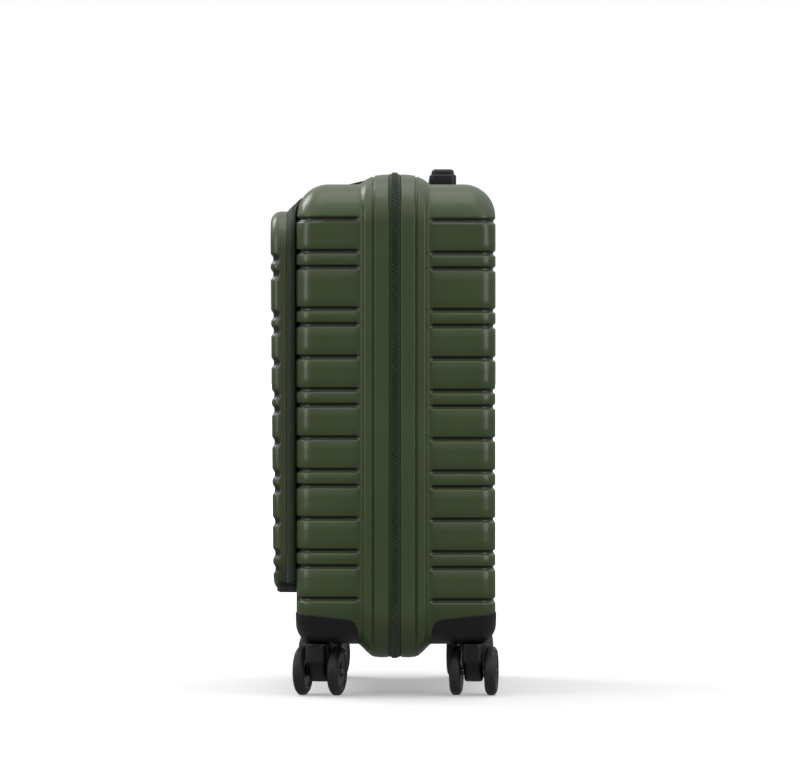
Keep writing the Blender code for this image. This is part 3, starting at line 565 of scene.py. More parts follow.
def zip_teeth(name, line, across, out, phase, pitch, size):
    """Teeth in a row along a line, each a block with chamfered ends that grips the tape's edge.

    across and out are unit vectors at each point of the line: across points back over the tape, and out
    away from the case. size is each tooth's (width, length, height), and it reaches past the line by a
    fifth.
    """
    travelled = along(line)
    number = int(travelled[-1] / pitch)
    at = (np.arange(number) + phase) * travelled[-1] / number
    place, back, up = (
        np.stack([np.interp(at, travelled, column) for column in values.T], axis=-1)
        for values in (line, across, out)
    )
    back /= np.linalg.norm(back, axis=-1, keepdims=True)
    up /= np.linalg.norm(up, axis=-1, keepdims=True)
    forward = np.cross(back, up)
    width, length, height = size
    # Rings of six points from the nose to the heel of one tooth, as (forward, up)
    ring = np.array([[-0.5, 0], [-0.5, 0.55], [-0.22, 1], [0.22, 1], [0.5, 0.55], [0.5, 0]]) * [width, height]
    rows = np.array([[-0.2, 0.55], [-0.12, 0.95], [0.25, 1], [0.7, 1], [0.8, 0.7]])
    a = np.concatenate([ring, ring[:1]])[None] * rows[:, 1, None, None] ** [1, 0.6]
    middle = np.stack([0 * a[:1, :, 0], 0 * a[:1, :, 0] + 0.4 * height], axis=-1)
    shape = np.concatenate([middle, a, middle])
    depth = np.concatenate([rows[:1, 0], rows[:, 0], rows[-1:, 0]]) * length
    grid = (
        place[:, None, None]
        + forward[:, None, None] * shape[None, ..., :1]
        + up[:, None, None] * (shape[None, ..., 1:] - 0.45 * height)
        + back[:, None, None] * depth[None, :, None, None]
    )
    return surface(name, list(grid), TEETH)


for side, end in ((1, "rear"), (-1, "front")):
    distance = np.array([0.3, 1.5, 3.2, 5.0, 6.6]) * MM
    inset = np.array([1.0, 0.75, 0.7, 0.9, 2.4]) * MM
    grid = rim_ring(distance, inset, side)
    tape = surface(f"{end}_zip_tape_cloth", [grid], TAPE, maps=[strip_maps(grid)])
    thicken(tape, 0.7 * MM)
    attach(tape, f"{end}_case")
    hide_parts(f"{end}_zip_tape")
    line = rim_ring(np.array([0.15 * MM]), np.array([0.1 * MM]), side)[0]
    beside = rim_ring(np.array([0.15 * MM]), np.array([-0.9 * MM]), side)[0]
    teeth = zip_teeth(
        f"{end}_zip_teeth",
        line,
        np.array([0, side, 0.0]) + 0 * line,
        beside - line,
        0.25 + 0.25 * side,
        TOOTH_PITCH,
        (1.5 * MM, 3.4 * MM, 1.5 * MM),
    )
    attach(teeth, f"{end}_case")

# ---- Front pocket lid ------------------------------------------------------------------------------------
# A shallow tray pressed from the same sheet, with the same grooves run right across it. It leans back
# slightly towards its foot, where a strip of cloth hinges it. Cloth covers its inside.

lid_low, lid_high = np.array(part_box("pocket_lid_shell"))
LID_RADIUS = 40 * MM
LID_ROUND = 11 * MM
LID_LEAN = 3 * MM
LID_DEPTH = lid_high[1] - lid_low[1]
LID_GROOVE_HALF = 6.5 * MM
LID_GROOVE_DEPTH = 2.7 * MM
LID_GROOVE_REACH = 12.5 * MM
LID_SHADE_END = 124 * MM
LID_GROOVES = 140.5 * MM + (GROOVES - PAIRS[0]) * 0.9886
LID_GROOVES = LID_GROOVES[(LID_GROOVES > lid_low[2] + 15 * MM) & (LID_GROOVES < lid_high[2] - 30 * MM)]
lid_levels = groove_levels(158 * MM, 462 * MM, LID_GROOVES, LID_GROOVE_HALF, 6 * MM)


def lid_rings(depth, rounding, shrink, corners, levels):
    """Rings of the lid from its rim to its face, shrink inside its outer surface."""
    left = rounding * (1 - np.sin(np.radians(np.linspace(0, 90, 13))))
    travel = np.concatenate([np.array([0, 0.1, 0.3, 0.6]) * (depth - rounding), depth - left])
    inset = shrink + turned_in(rounding, depth - travel)
    loops, count = outlines(
        lid_high[0] - inset, lid_low[2] + inset, lid_high[2] - inset, LID_RADIUS - inset, levels, corners, 24
    )
    return placed(loops, lid_high[1] - travel), count


def leaned(grid):
    """The lid's face leans back towards its foot, in proportion to the distance from its rim."""
    share = (lid_high[1] - grid[..., 1]) / LID_DEPTH
    share = share * (lid_high[2] - grid[..., 2]) / (lid_high[2] - lid_low[2])
    return grid + LID_LEAN * share[..., None] * np.array([0, 1, 0])


def lid_pressed(grid, normals):
    """Presses the grooves into the face and part of the way round its edge."""
    rise = np.abs(grid[..., 2, None] - LID_GROOVES).min(axis=-1)
    past = np.maximum(0, LID_GROOVE_REACH - (lid_high[1] - grid[..., 1]))
    depth = LID_GROOVE_DEPTH * groove_shape(np.hypot(rise, past), LID_GROOVE_HALF)
    return grid - normals * depth[..., None]


skin, count = lid_rings(LID_DEPTH, LID_ROUND, 0, (64, 30), lid_levels)
shade_amount = [painted_shade_of_grooves(skin, LID_GROOVES, LID_GROOVE_HALF, LID_SHADE_END)]
skin = lid_pressed(skin, outward(skin))
face = cap(skin[-1], count, 24)
flat = face.copy()
flat[..., 1] = lid_low[1]
shade_amount.append(painted_shade_of_grooves(flat, LID_GROOVES, LID_GROOVE_HALF, LID_SHADE_END))
face = lid_pressed(flat, np.array([0, -1.0, 0]) + 0 * flat)
rim_cap = cap(skin[-1], count, 24)
face[:, 0], face[:, -1] = rim_cap[:, 0], rim_cap[:, -1]
face[-1], face[0] = skin[-1][count - 1 : count + 24], rim_cap[0]
inside, _ = lid_rings(LID_DEPTH - WALL, LID_ROUND - WALL / 2, WALL, (64, 30), lid_levels)
lip = np.stack([skin[0], inside[0]])
lid_parts = [leaned(part) for part in (skin, face, inside, cap(inside[-1], count, 24), lip)]
shade_amount += [0 * part[..., 0] for part in lid_parts[2:]]
lid = surface("pocket_lid_pressing", lid_parts, GREEN_SHEET, painted_shade=shade_amount)
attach(lid, "pocket_lid")
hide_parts("pocket_lid_shell")

# ---- Linings ---------------------------------------------------------------------------------------------
# Plain woven polyester cloth, glued in smooth over each half's inside, and folded over at the rim. The
# rear half has a flap of it over the telescopic handle's tubes, and the front half a net pocket.


def lining_cloth():
    """Polyester lining, plain weave: matt with a faint sheen. Its threads are drawn at 1 mm, to show."""
    sheen = {"Sheen_Weight": 0.35, "Sheen_Roughness": 0.4}
    made, tree, shader, place = start_finish("lining_cloth", "#3b3d3b", 0.82, **sheen)
    weave = add_node(tree, "ShaderNodeTexBrick", {"Vector": place.outputs["Object"], "Scale": 500.0})
    slow = {"Vector": place.outputs["Object"], "Scale": 14.0, "Detail": 3.0}
    fold = add_node(tree, "ShaderNodeTexNoise", slow)
    colours = ((0.3, "#343634"), (0.7, "#434542"))
    add_node(tree, "ShaderNodeValToRGB", {"Fac": fold.outputs["Fac"]}, colours, shader.inputs["Base Color"])
    relief = {"Height": fold.outputs["Fac"], "Strength": 0.5, "Distance": 0.006}
    ripple = add_node(tree, "ShaderNodeBump", relief)
    thread = {"Height": weave.outputs["Fac"], "Strength": 0.3, "Distance": 0.0002}
    thread["Normal"] = ripple.outputs["Normal"]
    add_node(tree, "ShaderNodeBump", thread, to=shader.inputs["Normal"])
    return made


LINING = lining_cloth()


def tub(name, node, open_side, radius, rounding, wall):
    """A cloth-covered tray with an open side: walls, round edges and floor, in an outer and an inner skin.

    It is the CAD node's own box in size, and open_side is the sign of the side that it opens to.
    """
    low, high = np.array(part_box(node))
    rim, floor = (low[1], high[1]) if open_side < 0 else (high[1], low[1])
    way = np.sign(floor - rim)
    skins = []
    for shrink in (0, wall):
        depth = abs(floor - rim) - shrink
        left = rounding * (1 - np.sin(np.radians(np.linspace(0, 90, 9))))
        travel = np.concatenate([[0], np.linspace(0.15, 1, 7) * (depth - rounding), depth - left[1:]])
        inset = shrink + turned_in(rounding, depth - travel)
        levels = np.linspace(low[2] + radius + 4 * MM, high[2] - radius - 4 * MM, 24)
        bend = np.maximum(radius - inset, 4 * MM)
        edges = (high[0] - inset, low[2] + inset, high[2] - inset, bend)
        loops, count = outlines(*edges, levels, (10, 10), 20)
        rings = placed(loops, rim + way * travel)
        skins += [rings, cap(rings[-1], count, 20)]
    skins.append(np.stack([skins[0][0], skins[2][0]]))
    return surface(name, skins, LINING)


for name, body, node, open_side, radius, rounding, wall in (
    ("rear_lining_cloth", "rear_case", "rear_lining", -1, 36, 20, 1.2),
    ("front_lining_cloth", "front_case", "front_lining", 1, 36, 10, 1.2),
    ("pocket_tray_cloth", "front_case", "pocket_tray", -1, 33, 8, 1.6),
):
    cloth = tub(name, node, open_side, radius * MM, rounding * MM, wall * MM)
    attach(cloth, body)
    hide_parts(node)

# ---- Front pocket's zip and cloth ------------------------------------------------------------------------
# A finer zip runs up both sides of the lid and over its top, sewn to the lid's rim and to the shell. A
# black bound hem hinges the lid's foot, and a pleated gusset stops it at 40 degrees. All woven polyester.

POCKET_PITCH = 2.1 * MM
SHELL_TOP = HIGH - RIBBED[1]


def black_webbing():
    """Black woven webbing: a fine herringbone, drawn at 1 mm so that it shows."""
    made, tree, shader, place = start_finish("black_webbing", "#161617", 0.8, Sheen_Weight=0.3)
    twill = {"Vector": place.outputs["Object"], "Scale": 300.0, "Distortion": 2.0}
    wave = add_node(tree, "ShaderNodeTexWave", twill, bands_direction="DIAGONAL")
    colours = ((0.1, "#111112"), (0.9, "#1d1d1f"))
    add_node(tree, "ShaderNodeValToRGB", {"Fac": wave.outputs["Fac"]}, colours, shader.inputs["Base Color"])
    relief = {"Height": wave.outputs["Fac"], "Strength": 0.4, "Distance": 0.0003}
    add_node(tree, "ShaderNodeBump", relief, to=shader.inputs["Normal"])
    return made


WEBBING = black_webbing()


def arch(half_width, foot, high, radius, steps=(90, 18, 60)):
    """An arch in (x, z): up the right side, round two corners of one radius, and down the left side."""
    side, turn, top = steps
    rise = np.linspace(foot, high - radius, side, endpoint=False)
    angle = np.linspace(0, math.pi / 2, turn + 1)
    centre = np.array([half_width - radius, high - radius])
    bend = centre + radius * np.stack([np.cos(angle), np.sin(angle)], axis=-1)
    half = np.concatenate([np.stack([half_width + 0 * rise, rise], axis=-1), bend])
    span = np.linspace(1, -1, top + 1)[1:-1, None] * [half_width - radius, 0] + [0, high]
    return np.concatenate([half, span, half[::-1] * [-1, 1]])


def upright(points, y):
    """Points of (x, z) at a depth y."""
    return np.stack([points[:, 0], y + 0 * points[:, 0], points[:, 1]], axis=-1)


def shoulder_y(z):
    """Depth of the front wall where it rounds over into the top, a circle of TOP_ROUND."""
    climb = np.maximum(0, z - (SHELL_TOP - TOP_ROUND))
    return ZIP_Y - FRONT_DEPTH + TOP_ROUND - np.sqrt(TOP_ROUND**2 - climb**2)


zip_foot = 118 * MM
on_lid = arch(lid_high[0] - 1.0 * MM, zip_foot, lid_high[2] - 1.0 * MM, 38 * MM)
meeting = arch(lid_high[0] + 1.0 * MM, zip_foot, 509.8 * MM, 42 * MM)
on_shell = arch(lid_high[0] + 2.5 * MM, zip_foot, 518 * MM, 46 * MM)
lid_edge = upright(on_lid, -101.4 * MM)
middle = upright(meeting, -96.9 * MM + 0.08 * np.maximum(0, meeting[:, 1] - 480 * MM))
shell_edge = upright(on_shell, shoulder_y(on_shell[:, 1]) - 1.2 * MM)
share = np.linspace(0, 1, 6)[:, None, None]
LID_TAPE = woven_tape("woven_tape_on_lid", "#303a2a", "#414c39")
# The half sewn to the shell is painted near black, far darker than the half on the lid: painted shade for the
# deep gap between the tape and the shell wall
PAINTED_SHADE_TAPE = woven_tape("woven_tape_painted_shade", "#0c110d", "#182018")
for edge, piece, body, cloth_finish in (
    (lid_edge, "lid", "pocket_lid", LID_TAPE),
    (shell_edge, "shell", "front_case", PAINTED_SHADE_TAPE),
):
    gap = 0.15 * MM if piece == "lid" else -0.15 * MM
    start = middle - [0, gap, 0]
    grid = start * (1 - share) + edge * share
    up = outward(grid)
    grid = grid + up * 0.8 * MM * 4 * share * (1 - share)
    tape = surface(f"pocket_zip_{piece}_cloth", [grid], cloth_finish, maps=[strip_maps(grid)])
    thicken(tape, 0.7 * MM)
    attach(tape, body)
    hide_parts(f"pocket_zip_{piece}_tape")
    teeth = zip_teeth(
        f"pocket_zip_{piece}_teeth",
        start + up[0] * 0.5 * MM,
        edge - start,
        up[0],
        0.25 if piece == "lid" else 0.75,
        POCKET_PITCH,
        (1.2 * MM, 2.6 * MM, 1.2 * MM),
    )
    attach(teeth, body)

# The hem: a U of webbing under the lid's foot, turned up a little at its ends
hem_turn = np.radians(np.linspace(52, 90, 12))
hem_bend = 41.6 * MM * np.stack([np.cos(hem_turn), -np.sin(hem_turn)], axis=-1)
hem_end = np.array([115, 149]) * MM + hem_bend
hem_span = np.linspace(1, -1, 41)[1:-1, None] * [115 * MM, 0] + [0, 107.4 * MM]
hem_line = np.concatenate([hem_end, hem_span, hem_end[::-1] * [-1, 1]])
hem_y = np.array([-112.0, -108.5, -105, -101.5, -98.5, -95.5, -92.3]) * MM
hem = np.stack([upright(hem_line, y) for y in hem_y])
hem[0] += [0, 0, 1.2 * MM]
hem_piece = surface("pocket_hem", [hem], WEBBING)
thicken(hem_piece, 1.5 * MM)
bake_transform(hem_piece)

# The gusset: three pleats between the front wall and the lid, up to 340 mm
gusset_line = arch(149.5 * MM, -340 * MM, -114.5 * MM, 29 * MM, (40, 14, 30)) * [1, -1]
gusset_low, gusset_high = np.array(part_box("pocket_gusset"))
pleat = np.linspace(0, 1, 19)[:, None]
centre = np.array([0, 200 * MM])
inward = centre - gusset_line
inward[:, 1] *= gusset_line[:, 1] < 150 * MM
inward /= np.maximum(np.linalg.norm(inward, axis=1, keepdims=True), 1e-9)
fold = 1.6 * MM * (1 - np.cos(6 * math.pi * pleat)) * np.sin(math.pi * np.clip(pleat * 3, 0.5, 2.5) / 3) ** 2
grid = gusset_line[None] + inward[None] * fold[..., None]
depth = np.broadcast_to(gusset_high[1] + (gusset_low[1] - gusset_high[1]) * pleat, grid.shape[:2])
gusset = surface("pocket_gusset_cloth", [np.stack([grid[..., 0], depth, grid[..., 1]], axis=-1)], LINING)
thicken(gusset, 0.7 * MM)
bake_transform(gusset)
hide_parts("pocket_gusset")

# ---- Pocket's contents -----------------------------------------------------------------------------------
# Inside the pocket a padded laptop sleeve hangs on the tray's back, and in the front half's main
# compartment a net pocket covers the lower wall. The padding is foam sewn between two layers of lining.

sleeve_low, sleeve_high = np.array(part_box("laptop_sleeve"))


def sewn_panel(width, height, thick, stitch, steps=(60, 60)):
    """A padded panel standing in (x, z), as a front and a back grid of points.

    Its half thickness is thick times the fourth root of (1 - u^8)(1 - v^8), less a sewn channel all round
    and shallow quilting. u and v run from -1 to 1 across the width and height.
    """
    u = np.sin(np.linspace(-1, 1, steps[0] + 1) * math.pi / 2)[None, :]
    v = np.sin(np.linspace(-1, 1, steps[1] + 1) * math.pi / 2)[:, None]
    full = thick * np.maximum(0, (1 - u**8) * (1 - v**8)) ** 0.25
    x, z = u * width / 2 + 0 * v, v * height / 2 + 0 * u
    border = np.minimum(width / 2 - np.abs(x), height / 2 - np.abs(z))
    full = full - 0.8 * MM * np.exp(-(((border - stitch) / (1.2 * MM)) ** 2)) * (full > 1 * MM)
    quilt = np.abs(np.sin(math.pi * (x + z) / (60 * MM))) * np.abs(np.sin(math.pi * (x - z) / (60 * MM)))
    full = full - 0.5 * MM * np.exp(-quilt * 12) * (border > stitch)
    return np.stack([x, -full, z], axis=-1), np.stack([x, full, z], axis=-1)


width, height = sleeve_high[0] - sleeve_low[0], sleeve_high[2] - sleeve_low[2]
place = np.array([0, sleeve_low[1] + 2.6 * MM, (sleeve_low[2] + sleeve_high[2]) / 2])
panel_grids = [grid + place for grid in sewn_panel(width, height, 2.4 * MM, 6 * MM)]
panel = surface("laptop_sleeve_panel", panel_grids, LINING)
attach(panel, "front_case")
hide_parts("laptop_sleeve")
side_low, side_top = -sleeve_high[2] + 4 * MM, -sleeve_low[2] - 2 * MM
side_line = arch(width / 2 - 2 * MM, side_low, side_top, 12 * MM, (20, 8, 20)) * [1, -1]
depth = np.linspace(place[1], sleeve_high[1], 5)
sides = surface("laptop_sleeve_sides", [np.stack([upright(side_line, y) for y in depth])], LINING)
thicken(sides, 1.0 * MM)
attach(sides, "front_case")

net_low, net_high = np.array(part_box("mesh_pocket"))


def knitted_net():
    """Warp-knitted polyester net: 1.5 mm holes, drawn at 3 mm to show, and darker than the threads."""
    made, tree, shader, place = start_finish("knitted_net", "#2c2e2d", 0.8, Sheen_Weight=0.3)
    meshes = {"Vector": place.outputs["Object"], "Scale": 330.0, "Randomness": 0.15}
    holes = add_node(tree, "ShaderNodeTexVoronoi", meshes)
    colours = ((0.25, "#0d0e0e"), (0.5, "#3a3d3b"))
    inside = {"Fac": holes.outputs["Distance"]}
    add_node(tree, "ShaderNodeValToRGB", inside, colours, shader.inputs["Base Color"])
    relief = {"Height": holes.outputs["Distance"], "Strength": 0.8, "Distance": 0.001}
    add_node(tree, "ShaderNodeBump", relief, to=shader.inputs["Normal"])
    return made


NET = knitted_net()
x = np.linspace(-1, 1, 61)[None, :]
z = np.linspace(0, 1, 31)[:, None]
bulge = (1 - x**6) * np.sin(math.pi * np.clip(z, 0, 1)) * 0.9 * MM
ripple = 0.25 * MM * np.sin(x * 34) * z**2
grid_x = x * net_high[0] * (1 - 0.012 * np.sin(math.pi * z)) + 0 * z
grid_z = net_low[2] + (net_high[2] - net_low[2]) * (z - 0.012 * z**8 * (1 - x**2))
middle_y = (net_low[1] + net_high[1]) / 2
net_grid = np.stack([grid_x, middle_y + bulge + ripple, grid_z + 0 * x], axis=-1)
net = surface("mesh_pocket_net", [net_grid], NET)
thicken(net, 0.5 * MM)
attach(net, "front_case")
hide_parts("mesh_pocket")
hem_z = np.linspace(-1, 1, 5)[:, None] * 5 * MM
binding_x, binding_y = 0.999 * grid_x[-1], middle_y + (bulge + ripple)[-1]
binding_grid = np.stack(
    [binding_x + 0 * hem_z, binding_y + 0 * hem_z, grid_z[-1] - 5 * MM + hem_z], axis=-1
)
binding = surface("mesh_pocket_binding", [binding_grid], WEBBING)
thicken(binding, 1.6 * MM)
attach(binding, "front_case")

# ---- Telescopic handle -----------------------------------------------------------------------------------
# Two stages of rounded aluminium tube slide in a fixed pair, with a moulded nylon grip on top that sinks
# into a bezel clipped to the shell. The button in it frees the stages. A cloth cover hides the rest.


def anodised_aluminium():
    """Brushed aluminium, clear anodised: fine bright lines along the tube, drawn at 0.5 mm to show."""
    made, tree, shader, place = start_finish("anodised_aluminium", "#b4b6b8", 0.28, 1.0)
    drawn = {"Vector": place.outputs["Object"], "Scale": (2000.0, 2000.0, 6.0)}
    along_z = add_node(tree, "ShaderNodeMapping", drawn)
    streaks = {"Vector": along_z.outputs["Vector"], "Scale": 1.0, "Detail": 3.0}
    lines = add_node(tree, "ShaderNodeTexNoise", streaks)
    colours = ((0.3, "#a6a8aa"), (0.7, "#bfc1c3"))
    add_node(tree, "ShaderNodeValToRGB", {"Fac": lines.outputs["Fac"]}, colours, shader.inputs["Base Color"])
    rough = {"Value": lines.outputs["Fac"], "To Min": 0.22, "To Max": 0.38}
    add_node(tree, "ShaderNodeMapRange", rough, to=shader.inputs["Roughness"])
    relief = {"Height": lines.outputs["Fac"], "Strength": 0.1, "Distance": 0.0001}
    add_node(tree, "ShaderNodeBump", relief, to=shader.inputs["Normal"])
    return made


ALUMINIUM = anodised_aluminium()


def rounded_ring(half_x, half_y, radius, steps=6):
    """A rounded rectangle about the origin: a quarter circle at each of its corners, back to its start."""
    angle = np.radians(np.linspace(0, 90, steps + 1)[None] + np.array([0, 90, 180, 270])[:, None])
    core = np.array([[1, 1], [-1, 1], [-1, -1], [1, -1]]) * [half_x - radius, half_y - radius]
    ring = (core[:, None] + radius * np.stack([np.cos(angle), np.sin(angle)], axis=-1)).reshape(-1, 2)
    return np.concatenate([ring, ring[:1]])


def block(half_x, half_y, radius, low, high, edge, steps=4):
    """Layers of a block: at angle a its sides are inset by edge (1 - sin a), edge (1 - cos a) from an end."""
    a = np.radians(np.linspace(0, 90, steps + 1))
    inset, rise = edge * (1 - np.sin(a)), edge * (1 - np.cos(a))
    inset = np.concatenate([inset, inset[::-1]])
    height = np.concatenate([low + rise, (high - rise)[::-1]])
    return np.stack([half_x - inset, half_y - inset, np.maximum(radius - inset, 0.1 * MM), height], axis=-1)


def layered(layers, origin=(0, 0, 0), axes=((1, 0, 0), (0, 1, 0), (0, 0, 1)), steps=6):
    """A closed form through (half x, half y, corner radius, height) layers, both ends drawn to a point.

    A point (x, y, z) of it goes to origin + x axes[0] + y axes[1] + z axes[2].
    """
    rings = np.stack([np.insert(rounded_ring(*row[:3], steps), 2, row[3], axis=1) for row in layers])
    rings = np.concatenate([rings[:1] * [0, 0, 1], rings, rings[-1:] * [0, 0, 1]])
    return rings @ np.array(axes, float) + np.array(origin, float)


grip_low, grip_high = np.array(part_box("trolley_grip"))
bezel_low, bezel_high = np.array(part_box("trolley_bezel"))
TROLLEY_Y = (grip_low[1] + grip_high[1]) / 2
grip_y = (grip_high[1] - grip_low[1]) / 2
# The grip is moulded in two parts that meet in a fine seam, and the upper one is well rounded on top
GRIP_CORNER, SEAM_LOW, SEAM_HIGH = 5 * MM, 541.0 * MM, 541.4 * MM
lower = block(grip_high[0], grip_y, GRIP_CORNER, grip_low[2], SEAM_LOW, 0.7 * MM)
upper = block(grip_high[0], grip_y, GRIP_CORNER, SEAM_HIGH, grip_high[2], 3.6 * MM)
upper[:5] = block(grip_high[0], grip_y, GRIP_CORNER, SEAM_HIGH, grip_high[2], 0.5 * MM)[:5]
well = np.array([[21.5, 6.2, 2.8, 549.0], [21.1, 5.9, 2.6, 548.6], [21.1, 5.9, 2.6, 542.2]]) * MM
place = (0, TROLLEY_Y, 0)
grip = surface("trolley_grip_moulding", [layered(np.concatenate([lower, upper, well]), place)], BLACK_NYLON)
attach(grip, "trolley_handle")
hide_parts("trolley_grip")
button_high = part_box("trolley_button")[1]
button_layers = block(20.9 * MM, 5.6 * MM, 2.4 * MM, 546.5 * MM, button_high[2], 0.9 * MM)
dish = np.array([[18.5, 3.6, 1.9, 549.7], [17, 2.6, 1.5, 549.5]]) * MM
button_form = layered(np.concatenate([button_layers, dish]), place)
button = surface("trolley_button_moulding", [button_form], BLACK_NYLON)
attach(button, "trolley_button")
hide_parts("trolley_button")
bezel_y = (bezel_high[1] - bezel_low[1]) / 2
BEZEL_CORNER = 6.5 * MM
frame_layers = block(bezel_high[0], bezel_y, BEZEL_CORNER, bezel_low[2], bezel_high[2], 1.6 * MM)
frame_layers[:5] = block(bezel_high[0], bezel_y, BEZEL_CORNER, bezel_low[2], bezel_high[2], 0.4 * MM)[:5]
sunk = np.array([[96.9, 12.5, 4.6, 542.9], [96.7, 12.2, 4.4, 542.5], [96.7, 12.2, 4.4, 534.0]]) * MM
bezel = surface("trolley_bezel_moulding", [layered(np.concatenate([frame_layers, sunk]), place)], BLACK_NYLON)
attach(bezel, "rear_case")
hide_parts("trolley_bezel")
for stage in ("outer", "middle", "inner"):
    for word in ("left", "right"):
        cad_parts[f"trolley_{stage}_tube_{word}"].material_slots[0].material = ALUMINIUM
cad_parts["trolley_base_bracket"].material_slots[0].material = BLACK_NYLON

cover_low, cover_high = np.array(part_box("trolley_cover"))


def evenly(line, count):
    """A line's points at even steps of its length."""
    travelled = along(line)
    at = np.linspace(0, travelled[-1], count)
    return np.stack([np.interp(at, travelled, column) for column in line.T], axis=-1)


edge = cover_high[0] - 0.7 * MM
front_y = cover_low[1] + 0.9 * MM
back_y = cover_high[1] - 0.5 * MM
corners = ((edge, back_y, 0), (edge, front_y, 7 * MM), (-edge, front_y, 7 * MM), (-edge, back_y, 0))
section = evenly(filleted(corners, 6), 91)
height = np.linspace(cover_low[2] + 0.5 * MM, cover_high[2] - 0.5 * MM, 61)[:, None]
x, y = section.T[:, None]
wave = 0.35 * MM * (np.sin(height * 61) * np.sin(x * 47) + np.sin(height * 23 + x * 31))
grid = np.stack([x + 0 * height, y + wave, height + 0 * x], axis=-1)
cover = surface("trolley_cover_cloth", [grid], LINING)
thicken(cover, 0.9 * MM)
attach(cover, "rear_case")
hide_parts("trolley_cover")

# ---- Packing strap ---------------------------------------------------------------------------------------
# Nylon webbing 25 mm wide across the rear compartment, held by a moulded side-release clip in its middle.
# Its ends are sewn to the lining.

strap_low, strap_high = np.array(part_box("packing_strap"))
x = np.linspace(strap_low[0], strap_high[0], 81)[None, :]
z = np.linspace(277.5, 302.5, 7)[:, None] * MM
y = strap_high[1] - 0.6 * MM + 0.25 * MM * np.sin(x * 55) * (np.abs(x) > 0.03)
strap = surface("packing_strap_webbing", [np.stack([x + 0 * z, y + 0 * z, z + 0 * x], axis=-1)], WEBBING)
thicken(strap, 1.1 * MM)
turned = ((1, 0, 0), (0, 0, 1), (0, 1, 0))
# Each moulded part of the clip: (x, z, half x, half z, corner, low, high, edge), in millimetres
CLIP = (
    (-14, 290, 16, 18, 4, 35.6, 42.6, 1.4),
    (17.5, 290, 11.5, 15, 4, 36.4, 42.2, 1.2),
    (4, 305, 7, 2.2, 1.5, 36.8, 42, 0.8),
    (4, 275, 7, 2.2, 1.5, 36.8, 42, 0.8),
    (-24, 290, 1, 12, 0.9, 35.5, 37, 0.4),
    (22, 290, 1, 12, 0.9, 35.8, 37.5, 0.4),
)
clip_parts = [layered(block(*row[2:]), (row[0], 0, row[1]), turned) for row in np.array(CLIP) * MM]
clip = surface("packing_strap_clip", clip_parts, BLACK_NYLON)
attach(strap, "rear_case")
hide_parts("packing_strap")
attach(clip, "rear_case")

# ---- Side carry handle -----------------------------------------------------------------------------------
# A nylon bail on the left side, over a moulded base riveted through the rear half. It lies flat against the
# shell and swings out on two steel pins.

base_low, base_high = np.array(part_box("side_handle_base"))
bail_low, bail_high = np.array(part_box("side_handle_grip"))
middle_z = (base_low[2] + base_high[2]) / 2
outwards = ((0, 1, 0), (0, 0, 1), (-1, 0, 0))
half_y, half_z = (base_high[1] - base_low[1]) / 2, (base_high[2] - base_low[2]) / 2
centre = (base_high[0], (base_low[1] + base_high[1]) / 2, middle_z)
plate = block(half_y, half_z, 7 * MM, 0, 2.2 * MM, 0.8 * MM)
scooped = np.array([[-3, -12, 6, 1.7], [-5, -14, 5, 1.0]]) * MM + [half_y, half_z, 0, 0]
base_parts = [layered(np.concatenate([plate, scooped]), centre, outwards)]
for end in (-1, 1):
    lug = block(5.2 * MM, 4.75 * MM, 2 * MM, 0.5 * MM, base_high[0] - base_low[0], 1.5 * MM)
    lug_z = middle_z + end * (half_z - 4.75 * MM)
    base_parts.append(layered(lug, (base_high[0], 85.0 * MM, lug_z), outwards))
handle_base = surface("side_handle_base_moulding", base_parts, BLACK_NYLON)
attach(handle_base, "rear_case")
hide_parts("side_handle_base")


def swept(path, across, half_widths, half_heights, power=3.0, steps=20):
    """A bar along a path, of superellipse section: its points are (cos t)^(2/p) across, (sin t)^(2/p) up.

    across is a unit vector at each point of the path, square to it. Both ends are drawn to a point.
    """
    t = np.linspace(0, 2 * math.pi, steps + 1)
    c = np.sign(np.cos(t)) * np.abs(np.cos(t)) ** (2 / power)
    s = np.sign(np.sin(t)) * np.abs(np.sin(t)) ** (2 / power)
    tangent = np.gradient(path, axis=0)
    up = np.cross(across, tangent)
    up /= np.linalg.norm(up, axis=1, keepdims=True)
    wide = np.broadcast_to(half_widths, len(path))[:, None, None] * across[:, None] * c[None, :, None]
    tall = np.broadcast_to(half_heights, len(path))[:, None, None] * up[:, None] * s[None, :, None]
    rings = path[:, None] + wide + tall
    ends = [np.repeat(path[i][None, None], steps + 1, axis=1) for i in (0, -1)]
    return np.concatenate([ends[0], rings, ends[1]])


grip_line = 55.0 * MM
corners = (
    (bail_high[1], bail_low[2] + 4.5 * MM, 0),
    (grip_line, bail_low[2] + 4.5 * MM, 10 * MM),
    (grip_line, bail_high[2] - 4.5 * MM, 10 * MM),
    (bail_high[1], bail_high[2] - 4.5 * MM, 0),
)
line = evenly(filleted(corners, 10), 81)
path = np.stack([0 * line[:, 0] + (bail_low[0] + bail_high[0]) / 2, line[:, 0], line[:, 1]], axis=-1)
tangent = np.gradient(path, axis=0)
tangent /= np.linalg.norm(tangent, axis=1, keepdims=True)
across = np.cross(tangent, [1.0, 0, 0])
near_end = np.minimum(along(path), along(path)[-1] - along(path))
wide = np.interp(near_end, np.array([0, 0.8, 20, 40]) * MM, np.array([3.6, 4.5, 4.6, 5.5]) * MM)
tall = np.interp(near_end, np.array([0, 0.8, 30]) * MM, np.array([1.6, 2.2, 2.3]) * MM)
bail = surface("side_handle_bail", [swept(path, across, wide, tall, 3.4, 28)], BLACK_NYLON)
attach(bail, "side_handle")
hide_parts("side_handle_grip")

# ---- Lock ------------------------------------------------------------------------------------------------
# A three-dial combination lock of die-cast zinc, blackened, set in the top of the front half. Its release
# button slides sideways, and the slots beside it take the ends of both zips' pull tabs.


